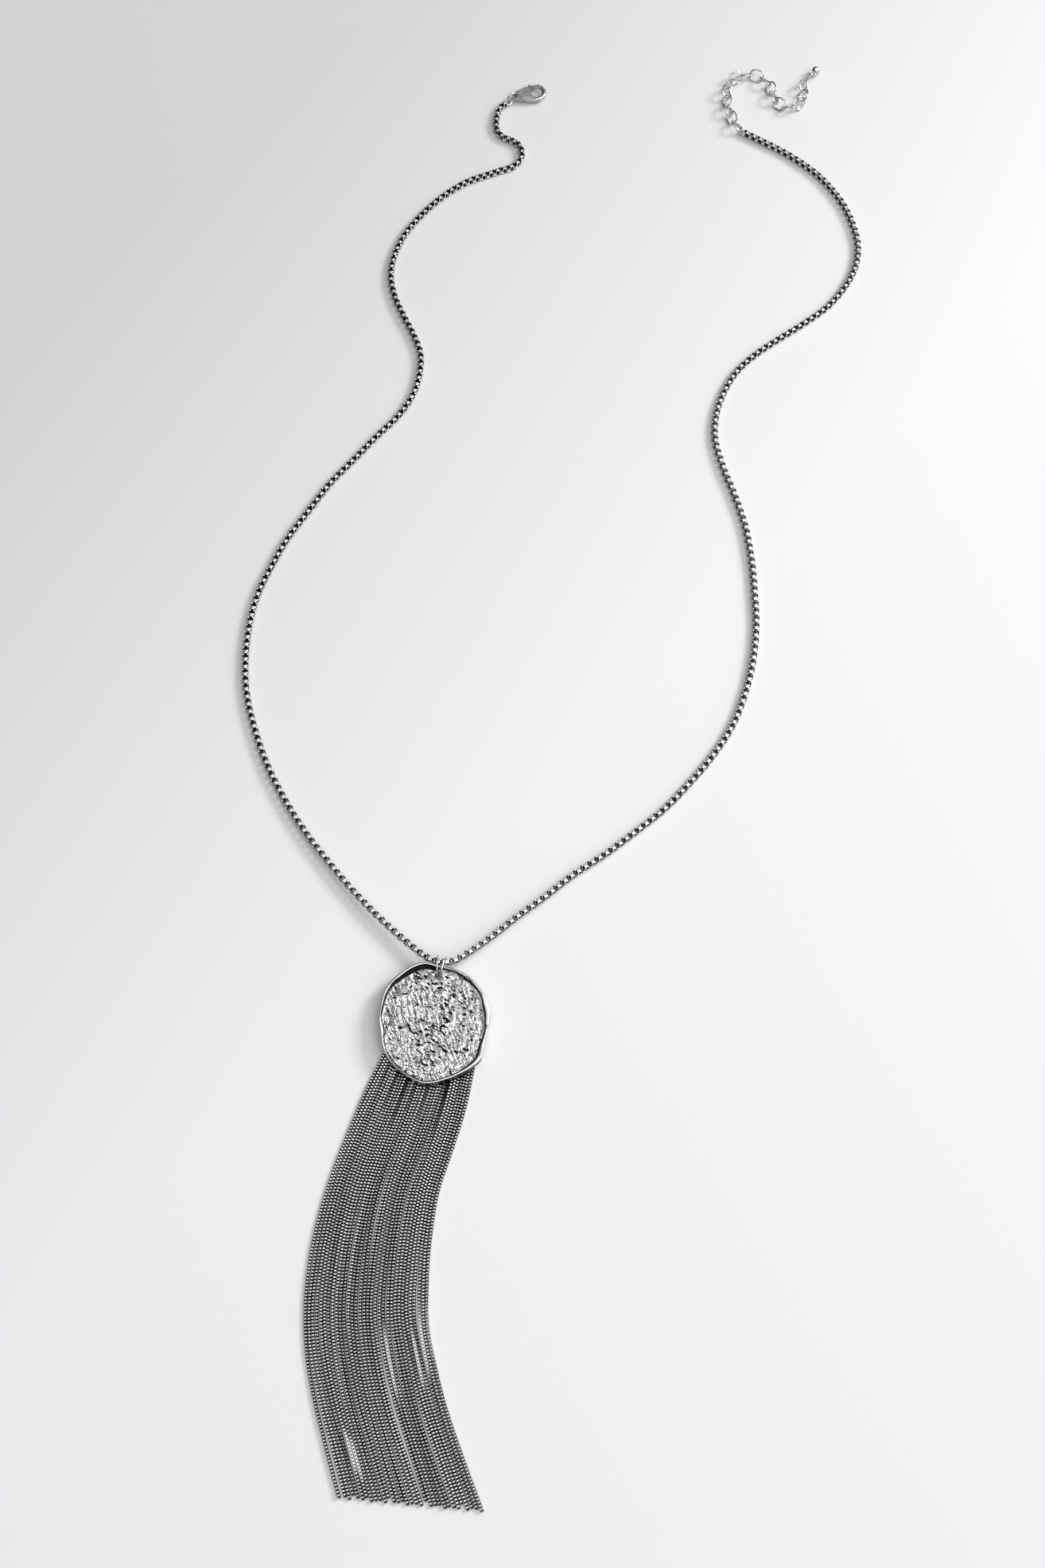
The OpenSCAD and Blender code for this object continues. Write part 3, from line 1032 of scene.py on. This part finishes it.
    def place_in(self, place: Vector) -> tuple[float, float, float, float]:
        """Give a point's angle in degrees, its inset from the outline, and rim and lip widths.

        Args:
            place: The point, in metres.

        Returns:
            The four, lengths in millimetres.
        """
        dx = place.x / MM - self.centre[0]
        dy = place.y / MM - self.centre[1]
        angle = math.degrees(math.atan2(dy, dx)) % 360
        radius, lip_w, slope_w = self.outline(angle)
        return angle, radius - math.hypot(dx, dy), lip_w + slope_w, lip_w

    def painted_shade(self, place: Vector) -> float:
        """Give how much shade is painted on a point: in the hole, in the rim's folds, on its slope
        and in hollows.

        Args:
            place: The point, in metres.

        Returns:
            From 0, no painted shade, to 1, black.
        """
        z = place.z / MM
        top = self.back_z + self.thick
        angle, inset, rim, lip = self.place_in(place)
        if z < self.back_z + 0.3:
            return 0.0
        # Inside the hole: painted shade
        hole = math.hypot(place.x / MM - self.centre[0] - self.hole[0],
                          place.y / MM - self.centre[1] - self.hole[1])
        if hole < self.hole_d / 2 + 0.02:
            return 1.0
        dark = 0.0
        # Bands of painted shade and painted dark reflection on the rim
        for start, end, near, far, depth in RIM_PAINTED_SHADE:
            if start <= angle <= end and near <= inset <= far:
                dark = max(dark, depth)
        # The lip's inner slope: painted shade
        if inset < rim:
            return max(dark, 0.88 if inset > lip + 0.02 else 0.0)
        # Hollows of the beaten face: painted shade, up to half
        return max(dark, min(max((top - 0.2 - z) / 0.25, 0.0), 0.5))

    def polish(self, place: Vector) -> float:
        """Give 1 on the polished rim and 0 on the beaten face."""
        _, inset, rim, _ = self.place_in(place)
        return min(max((rim + 0.15 - inset) / 0.3, 0.0), 1.0)

    def build(self, material: Material, fitting: Material) -> None:
        """Build the coin and its clamp.

        Args:
            material: The coin's finish.
            fitting: The clamp's finish.
        """
        coin = self.disc()
        self.pierce(coin)
        # Shade painted in the hole, on the rim and in the face's hollows
        mark(coin, "painted_shade", lambda p, n: self.painted_shade(p))
        mark(coin, "polish", lambda p, n: self.polish(p))
        smooth_by_angle(coin, 50)
        dress(coin, material, replaces=["coin"])
        clamp = self.clamp()
        smooth_by_angle(clamp, 30)
        dress(clamp, fitting)


@dataclass
class Head:
    """The flat bar that the fringe's strands hang from.

    Attributes:
        depth: Across the bar, in millimetres.
        thick: Its height.
        bottom: From the surface to its underside.
        over: How far it reaches past the outermost strands' centres.
    """

    depth: float = 2.4
    thick: float = 1.2
    bottom: float = 0.5
    over: float = 1.1

    @property
    def ends(self) -> tuple[Vector, Vector]:
        """The centres of the outermost strands at the head, in millimetres."""
        left_x, left_y, right_x, right_y = FRINGE_EDGES[0]
        return Vector((left_x, left_y, 0)), Vector((right_x, right_y, 0))

    @property
    def length(self) -> float:
        """The bar's length, in millimetres."""
        left, right = self.ends
        return (right - left).length + 2 * self.over

    def place(self) -> Matrix:
        """Give the frame of the bar's middle, on the surface, in metres.

        Returns:
            The frame.
        """
        left, right = self.ends
        way = right - left
        return (Matrix.Translation((left + right) / 2 * MM)
                @ Matrix.Rotation(math.atan2(way.y, way.x), 4, "Z"))

    def build(self, material: Material) -> None:
        """Build the bar.

        Args:
            material: The bar's finish.
        """
        bpy.ops.mesh.primitive_cube_add(size=1)
        bar = named("fringe_head")
        bar.scale = Vector((self.length, self.depth, self.thick)) * MM
        settle(bar)
        edge = bar.modifiers.new("edge", "BEVEL")
        edge.width = 0.15 * MM
        edge.segments = 2
        apply_all(bar)
        lift = (self.bottom + self.thick / 2) * MM
        bar.data.transform(self.place() @ Matrix.Translation((0, 0, lift)))
        smooth_by_angle(bar, 40)
        dress(bar, material, replaces=["fringe"])


@dataclass
class Fringe:
    """The strands of fine chain that fall from the head.

    Attributes:
        strands: How many there are.
        full: The longest strand's length, in millimetres.
        pitch: From one link to the next.
        width: Across a strand.
        part_after: The strand after which they part into two bunches.
        part_gap: The step there, in common steps.
        ragged: How much shorter the shortest strand is.
        bundles: How many pieces the strands are joined into.
        steps: Steps of a strand's guide.
        seed: For the leans and rolls.
        roll: Roll at the head and at the ends, in radians.
    """

    strands: int = 32
    full: float = 134.0
    pitch: float = 0.448
    width: float = 0.9
    part_after: int = 19
    part_gap: float = 1.15
    ragged: float = 2.0
    bundles: int = 6
    steps: int = 60
    seed: int = 7
    roll: tuple[float, float] = (0.02, 0.14)

    def share(self, i: int) -> float:
        """Give how far strand i lies between the outermost two, from 0 to 1."""
        extra = self.part_gap - 1
        return (i + (extra if i >= self.part_after else 0)) / (self.strands - 1 + extra)

    def length(self, i: int) -> float:
        """Give the share of the full length that strand i has.

        Args:
            i: The strand's number.

        Returns:
            The share.
        """
        wave = math.sin(math.radians(23 * i)) ** 2
        uneven = (0.5 + 0.5 * math.sin(math.radians(137 * i))) * (0.4 + 0.6 * wave)
        return 1 - self.ragged / self.full * uneven

    @staticmethod
    def edges(u: float) -> list[float]:
        """Give the centres of the outermost two strands at a share of the length.

        Args:
            u: The share of the length.

        Returns:
            X and Y of the left strand, then of the right one, in millimetres.
        """
        last = len(FRINGE_EDGES) - 1
        place = min(max(u, 0), 1) * last
        i = min(int(place), last - 1)
        rows = [FRINGE_EDGES[min(max(i + k, 0), last)] for k in (-1, 0, 1, 2)]
        return even_curves(rows, place - i)

    def centre(self, i: int, u: float) -> Vector:
        """Give the centre of strand i at a share of the length, in millimetres.

        Args:
            i: The strand's number.
            u: The share of its length.

        Returns:
            The centre.
        """
        left_x, left_y, right_x, right_y = self.edges(u)
        s = self.share(i)
        # A strand starts at the head's height and comes down to the surface in this share
        drop = max(0.0, 1 - max(0.0, u - 0.012) / 0.07) ** 2
        return Vector((left_x + (right_x - left_x) * s, left_y + (right_y - left_y) * s,
                       self.width / 2 + 0.02 + 0.6 * drop))

    def stray(self, i: int, u: float) -> Vector:
        """Give how far strand i strays from its even place, in millimetres.

        Args:
            i: The strand's number.
            u: The share of its length.

        Returns:
            The step from the even place.
        """
        # Strands lie in order at the head and stray fully from this share on
        grown = min(u / 0.08, 1.0)
        aside = 0.16 * drift(i * 0.9, u * 4.2, 2.2) + 0.14 * drift(i * 0.35, u * 7.5, 7.7)
        lift = 0.22 * max(0.0, drift(i * 1.7, u * 5.1, 12.5) + 0.25)
        parted = 0.0
        for strand, middle, reach, gap in STRAND_GAPS:
            if abs(u - middle) < reach:
                fade = math.cos((u - middle) / reach * math.pi / 2) ** 2
                parted += math.copysign(gap * fade, i - strand) * math.exp(-abs(i - strand) / 2.2)
        return Vector(((aside + parted) * grown, 0, lift * grown))

    def strand(self, i: int, pair: Part, rng: random.Random) -> Part:
        """Lay one strand.

        Args:
            i: The strand's number.
            pair: The two links that it repeats.
            rng: For its lean, its roll and where it starts.

        Returns:
            The strand.
        """
        lean = rng.uniform(-0.4, 0.4)
        phase = rng.uniform(0, 6.28)
        start = rng.uniform(0, 0.007)
        line = []
        tilts = []
        for k in range(self.steps + 1):
            u = start + (self.length(i) - start) * k / self.steps
            line.append(self.centre(i, u) + self.stray(i, u))
            tilt = self.roll[0] + (self.roll[1] - self.roll[0]) * u
            tilt += 0.12 * lean + 0.04 * math.sin(phase + 9 * u)
            for strand, first, last, turn in STRAND_ROLLS:
                if strand == i and first < u < last:
                    tilt += math.radians(turn) * swell(u, first, last)
            tilts.append(tilt)
        laid = lay_chain(pair, line, 2 * self.pitch, f"strand_{i:02d}", tilts)
        # Painted shade and painted highlights on some stretches
        self.paint_shade_and_highlights(i, laid)
        return laid

    @staticmethod
    def paint_shade_and_highlights(i: int, laid: Part) -> None:
        """Paint shade on, or a highlight along, the stretches of strand i that the table of such
        stretches names.

        Args:
            i: The strand's number.
            laid: The strand.
        """
        marks = laid.data.attributes["painted_shade"].data
        count = len(marks)
        for _, first, last, change in (row for row in STRAND_SHADE_AND_HIGHLIGHTS if row[0] == i):
            for k in range(max(0, int(first * count)), min(count, int(last * count))):
                amount = change * swell(k / count, first, last)
                old = marks[k].value
                marks[k].value = old + amount * ((1 - old) if amount > 0 else old)

    def build(self, material: Material) -> None:
        """Build the strands, in a few bundles.

        Args:
            material: The strands' finish.
        """
        rng = random.Random(self.seed)
        link = BoxLink(width=self.width, length=0.78, band=0.54, wall=0.21, sides=6, corner=0.46)
        # Shade painted everywhere but on the plates, a little less on the edges near the corners
        pair = link.pair(self.pitch, "fringe_link", (0.0, 1.0, 1.0, 0.7, 1.0))
        laid = [self.strand(i, pair, rng) for i in range(self.strands)]
        remove(pair)
        per = math.ceil(self.strands / self.bundles)
        for b in range(self.bundles):
            some = laid[b * per:(b + 1) * per]
            piece = fuse(some, f"fringe_strands_{b + 1}")
            dress(piece, material)


@dataclass
class Fittings:
    """The clasp, rings, extender links and end bead, which keep their CAD shapes.

    Attributes:
        links: How many links the extender has.
    """

    links: int = 18

    def build(self, material: Material, dull: Material) -> None:
        """Finish the CAD nodes.

        Args:
            material: The clasp's finish.
            dull: The finish of the rings, links and bead.
        """
        names = ["bail_ring_a", "bail_ring_b", "clasp_ring", "clasp_body", "clasp_lever", "end_bead"]
        names += [f"extender_link_{i:02d}" for i in range(1, self.links + 1)]
        for name in names:
            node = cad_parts[name]
            node.data.materials.clear()
            node.data.materials.append(material if name.startswith("clasp") else dull)
            LOG.info("%s: keeps its CAD shape", name)


def direction(azimuth: float, elevation: float) -> Vector:
    """Give the direction at so many degrees from +X towards +Y, and so many up.

    Args:
        azimuth: From +X towards +Y, in degrees.
        elevation: Above the floor, in degrees.

    Returns:
        A step of length 1 that way.
    """
    turn = math.radians(azimuth)
    rise = math.radians(elevation)
    return Vector((math.cos(rise) * math.cos(turn), math.cos(rise) * math.sin(turn), math.sin(rise)))


@dataclass
class Studio:
    """The pale floor, the soft light and the camera.

    Attributes:
        floor: Colour of the floor near the camera.
        floor_far: Its colour at the far left, darkened as painted shade.
        wall: Light from the walls.
        ceiling: Light from the broad bright part of the ceiling.
        wall_edge: Cosines of the angles from that part's middle where walls and ceiling begin.
        window: Azimuth and elevation of that middle.
        fill: Strength of both.
        lens: Focal length, in millimetres.
        eye: The camera's place.
        tilt: The camera's tilt from looking straight down, in degrees.
        key_power: Power of the square light, in watts.
        key_size: Its width, in metres.
        key_away: From the necklace's middle to it, in metres.
        key_from: Its azimuth and elevation.
    """

    floor: Colour = (0.785, 0.777, 0.797)
    floor_far: Colour = (0.585, 0.576, 0.592)
    wall: Colour = (0.05, 0.05, 0.053)
    ceiling: Colour = (1.0, 0.995, 1.0)
    wall_edge: tuple[float, float] = (0.45, 1.0)
    window: tuple[float, float] = (-20.0, 62.0)
    fill: float = 1.85
    lens: float = 45.66
    eye: tuple[float, float, float] = (-0.0138, -0.2509, 0.5592)
    tilt: float = 21.5
    key_power: float = 34.0
    key_size: float = 0.6
    key_away: float = 2.2
    key_from: tuple[float, float] = (28.0, 30.0)

    def build(self) -> None:
        """Build the floor, lights, world and camera."""
        bpy.ops.mesh.primitive_plane_add(size=6)
        ground = named("floor")
        ground.data.materials.append(self.paper())
        self.key_light()
        self.surroundings()
        data = bpy.data.cameras.new("camera")
        data.lens = self.lens
        data.sensor_width = 36
        camera = added("camera", data)
        camera.location = self.eye
        camera.rotation_euler = (math.radians(self.tilt), 0, 0)
        bpy.context.scene.camera = camera
        bpy.context.scene.view_settings.view_transform = "Standard"

    def paper(self) -> Material:
        """Build the floor's paper, with shade painted on it, a little darker towards the far left.

        Returns:
            The material.
        """
        made, add, inputs = blank("pale_paper")
        inputs["Roughness"].default_value = 0.75
        place = add("ShaderNodeTexCoord").outputs["Object"]
        split = add("ShaderNodeSeparateXYZ", {0: place}).outputs
        # Painted shade: darker towards the far left, where less light falls
        far = maths(add, "SUBTRACT", maths(add, "MULTIPLY", split["Y"], 0.9), split["X"])
        colour = blend(add, ramp(add, far, -0.02, 0.3), self.floor, self.floor_far)
        made.node_tree.links.new(colour, inputs["Base Color"])
        return made

    def surroundings(self) -> None:
        """Build the light all round: dark walls and a broad bright ceiling."""
        world = bpy.data.worlds.new("studio")
        bpy.context.scene.world = world
        world.use_nodes = True
        add = adder(world.node_tree)
        back = world.node_tree.nodes["Background"]
        place = add("ShaderNodeTexCoord").outputs["Generated"]
        towards = add("ShaderNodeVectorMath", {0: place, 1: direction(*self.window)},
                      operation="DOT_PRODUCT").outputs["Value"]
        colour = blend(add, ramp(add, towards, *self.wall_edge), self.wall, self.ceiling)
        world.node_tree.links.new(colour, back.inputs["Color"])
        back.inputs["Strength"].default_value = self.fill

    def key_light(self) -> None:
        """Add the soft square light, which faces the middle of the necklace."""
        data = bpy.data.lights.new("key", "AREA")
        data.energy = self.key_power
        data.size = self.key_size
        lamp = added("key", data)
        way = direction(*self.key_from)
        lamp.location = way * self.key_away
        lamp.rotation_euler = way.to_track_quat("Z", "Y").to_euler()


# Points of the neck chain's centre line, from the clasp to the extender, through the two rings
NECK_ROUTE = [
    (-19.6, 223.8, 1.1), (-21.5, 222, 1.1), (-22.5, 219.5, 1), (-23, 215, 1), (-22.5, 212, 1),
    (-20.5, 209.5, 1), (-17.5, 208, 1), (-15, 206, 1), (-14, 203, 1), (-14.5, 200, 1),
    (-17, 197, 1), (-21, 195.5, 1), (-26, 193.5, 1), (-32, 191, 1), (-38, 187, 1),
    (-44, 181.5, 1), (-49.5, 175, 1), (-54, 168, 1), (-57, 160, 1), (-58, 152, 1),
    (-56.5, 144, 1), (-53.5, 136.5, 1), (-50, 129, 1), (-47.5, 121.5, 1), (-47.5, 114.5, 1),
    (-49.5, 106, 1), (-54, 98, 1), (-61, 90, 1), (-68, 81.5, 1), (-75.5, 72.5, 1),
    (-82, 62.5, 1), (-88, 53, 1), (-93, 42.5, 1), (-97, 32, 1), (-99, 21, 1), (-99.5, 10, 1),
    (-98.5, -1.5, 1), (-95.5, -13, 1), (-91.5, -24, 1.1), (-86, -35, 1.2), (-79.5, -45.5, 1.4),
    (-72, -55.5, 1.6), (-64.5, -64.5, 1.8), (-56.5, -73, 2.1), (-49, -80, 2.4), (-42.5, -85.4, 2.9),
    (-39.5, -87.1, 3.1), (-36.5, -87.6, 3.2), (-33.5, -87, 3.1), (-30.5, -85.2, 2.8),
    (-23, -79.8, 2.4), (-15.5, -73.5, 2), (-7, -67, 1.7), (1.5, -60, 1.4), (11, -53.5, 1.2),
    (20, -46.5, 1.1), (29, -39, 1), (36.5, -31, 1), (43.5, -22.5, 1), (50, -12.5, 1),
    (54.5, -1.5, 1), (57.5, 10, 1), (59, 22, 1), (59, 33.5, 1), (58.5, 45, 1), (57, 57, 1),
    (54, 68.5, 1), (50.5, 79.5, 1), (48.5, 90, 1), (49.5, 99, 1), (52.3, 107, 1), (57, 115, 1),
    (63.5, 121.5, 1), (71.5, 127.5, 1), (80, 133.5, 1), (88, 140, 1), (94, 147.5, 1),
    (98, 155.5, 1), (99.5, 164, 1), (98.5, 172, 1), (96, 180, 1), (92, 187.5, 1), (87, 194, 1),
    (81, 199.5, 1), (75, 204, 1), (68.5, 208, 1.1), (62.6, 211.5, 1.2),
]

# For each 10 degrees from +X: outer radius, width of the lip, width of its inner slope
COIN_OUTLINE = [
    (15.8, 1.3, 0.3), (16.2, 1.5, 0.4), (16.2, 1.4, 0.4), (16.3, 0.9, 0.3), (16.4, 0.7, 0.5),
    (16.6, 0.9, 0.5), (16.7, 0.8, 0.4), (16.7, 0.6, 0.3), (16.7, 0.6, 0.4), (17.2, 0.7, 0.9),
    (18.2, 0.7, 1.3), (18.2, 0.7, 1.3), (17.9, 0.7, 1.1), (17.7, 0.8, 0.9), (17.6, 0.8, 0.8),
    (17.2, 0.7, 0.6), (16.5, 0.6, 0.4), (16.2, 0.5, 0.3), (16, 0.6, 0.3), (15.9, 0.9, 0.4),
    (16.2, 0.6, 0.3), (16.6, 0.5, 0.3), (17, 0.6, 0.3), (17.2, 0.6, 0.3), (17.4, 0.6, 0.3),
    (17.8, 0.6, 0.3), (18.1, 0.6, 0.3), (17.8, 0.6, 0.3), (17.2, 0.6, 0.3), (17, 0.6, 0.3),
    (16.9, 0.7, 0.4), (17.1, 0.9, 0.5), (17.3, 1.4, 0.5), (16.3, 1.3, 0.5), (15.7, 1, 0.4),
    (15.6, 0.9, 0.3),
]

# Painted shade and painted dark reflections on the rim, in its folds, on its inner slope and on its
# outer side in shadow: angles from +X, insets from the outline, and how dark each is
RIM_PAINTED_SHADE = [
    (86, 100, 0.72, 2.05, 1.0), (100, 122, 0.72, 2.05, 1.0), (122, 134, 0.75, 1.8, 1.0),
    (134, 141, 0.75, 1.6, 0.98), (141, 147, 0.75, 1.3, 0.95), (84, 150, 0.0, 0.12, 0.5),
    (48, 62, 0.55, 0.8, 0.95), (47, 52, 0.8, 1.1, 0.9), (52, 64, 1.25, 1.5, 0.9),
    (62, 66, 0.7, 1.3, 0.8), (66, 84, 0.3, 1.1, 0.35), (182, 189, 1.1, 1.5, 0.95),
    (213, 216, 1.9, 2.2, 0.95), (219, 223, 1.7, 2.0, 0.9), (352, 357, 0.5, 0.8, 0.9),
    (322, 350, 0.75, 0.95, 0.6), (300, 322, 1.35, 1.5, 0.5), (285, 322, -0.2, 0.16, 0.97),
    (262, 285, -0.2, 0.12, 0.9), (196, 262, 0.42, 0.55, 0.7), (10, 27, 1.0, 1.15, 0.7),
    (150, 196, 0.3, 0.42, 0.4), (27, 47, 0.5, 0.62, 0.5),
]

# For each 12 mm along the strands: the centres of the left and right outermost strands
FRINGE_EDGES = [
    (-49.3, -105.2, -25.8, -107), (-54.2, -116, -28, -118.8), (-59, -127, -30.4, -130.6),
    (-63.4, -138.2, -33.8, -142), (-67.4, -149.5, -37.4, -153.3), (-70.4, -161, -39.2, -165.3),
    (-72.4, -173, -40, -177.2), (-73.2, -185, -39.8, -189.2), (-72.2, -197, -37.3, -201),
    (-69.6, -208.8, -34, -212.5), (-66.1, -220.3, -29.8, -223.8), (-61.9, -234, -24.4, -237.2),
]

# Where the strands part: strand, share of the length, reach to each side of it, and half the gap
STRAND_GAPS = [
    (15.5, 0.42, 0.24, 0.22), (10.5, 0.5, 0.2, 0.14), (22.5, 0.38, 0.2, 0.16), (7.5, 0.5, 0.18, 0.12),
    (18.5, 0.85, 0.22, 0.34), (24.5, 0.88, 0.14, 0.22), (0.5, 0.9, 0.25, 0.35),
    (28.5, 0.6, 0.16, 0.3), (3.5, 0.12, 0.16, 0.1), (6.5, 0.8, 0.2, 0.12), (13.5, 0.1, 0.12, 0.12),
    (21.5, 0.7, 0.12, 0.2),
]

# Strands that roll over for a stretch: strand, shares of the length from and to, and degrees
STRAND_ROLLS = [
    (20, 0.66, 0.79, -13), (29, 0.62, 0.74, -13), (27, 0.66, 0.76, -12), (5, 0.87, 0.95, -13),
    (6, 0.89, 0.97, -12), (8, -0.05, 0.08, 40), (9, -0.05, 0.12, 50), (15, -0.05, 0.13, 50),
    (14, -0.05, 0.07, 40), (22, -0.05, 0.13, 50), (23, -0.05, 0.09, 40), (3, -0.05, 0.08, 40),
    (19, -0.05, 0.06, 40),
]

# Stretches with painted shade (above 0), where strands lie in shadow under the coin or beside a
# rolled strand, or with a painted highlight (below 0), where a strand is turned to catch the light:
# strand, from, to and how much
STRAND_SHADE_AND_HIGHLIGHTS = [
    (20, 0.63, 0.8, -0.6), (29, 0.58, 0.75, -0.6), (27, 0.64, 0.77, -0.55), (5, 0.86, 0.95, -0.6),
    (6, 0.88, 0.97, -0.55), (31, 0.58, 0.7, -0.5), (4, 0.87, 0.94, 0.6), (26, 0.64, 0.75, 0.6),
    (28, 0.6, 0.73, 0.6), (21, 0.66, 0.76, 0.4), (3, -0.1, 0.15, 0.7), (7, -0.1, 0.2, 1.0),
    (8, -0.1, 0.14, 0.8), (11, -0.1, 0.24, 1.0), (12, -0.1, 0.17, 0.9), (14, -0.1, 0.2, 0.9),
    (17, -0.1, 0.15, 0.8), (18, -0.1, 0.22, 1.0), (23, -0.1, 0.16, 0.8), (24, -0.1, 0.24, 1.0),
    (28, -0.1, 0.17, 0.7),
]


def main() -> None:
    """Build the necklace and its studio."""
    logging.basicConfig(level=logging.INFO, format="%(message)s")
    GROUPS["shade_and_tarnish"] = shade_and_tarnish_group()
    GROUPS["grain"] = grain_group()
    GROUPS["beaten"] = beaten_group()
    fitting = FITTING_SILVER.material()
    Studio().build()
    NeckChain().build(CHAIN_SILVER.material())
    Coin().build(COIN_SILVER.material(), fitting)
    fringe = FRINGE_SILVER.material()
    Head().build(fringe)
    Fringe().build(fringe)
    Fittings().build(fitting, RING_SILVER.material())


if __name__ == "__main__":
    main()
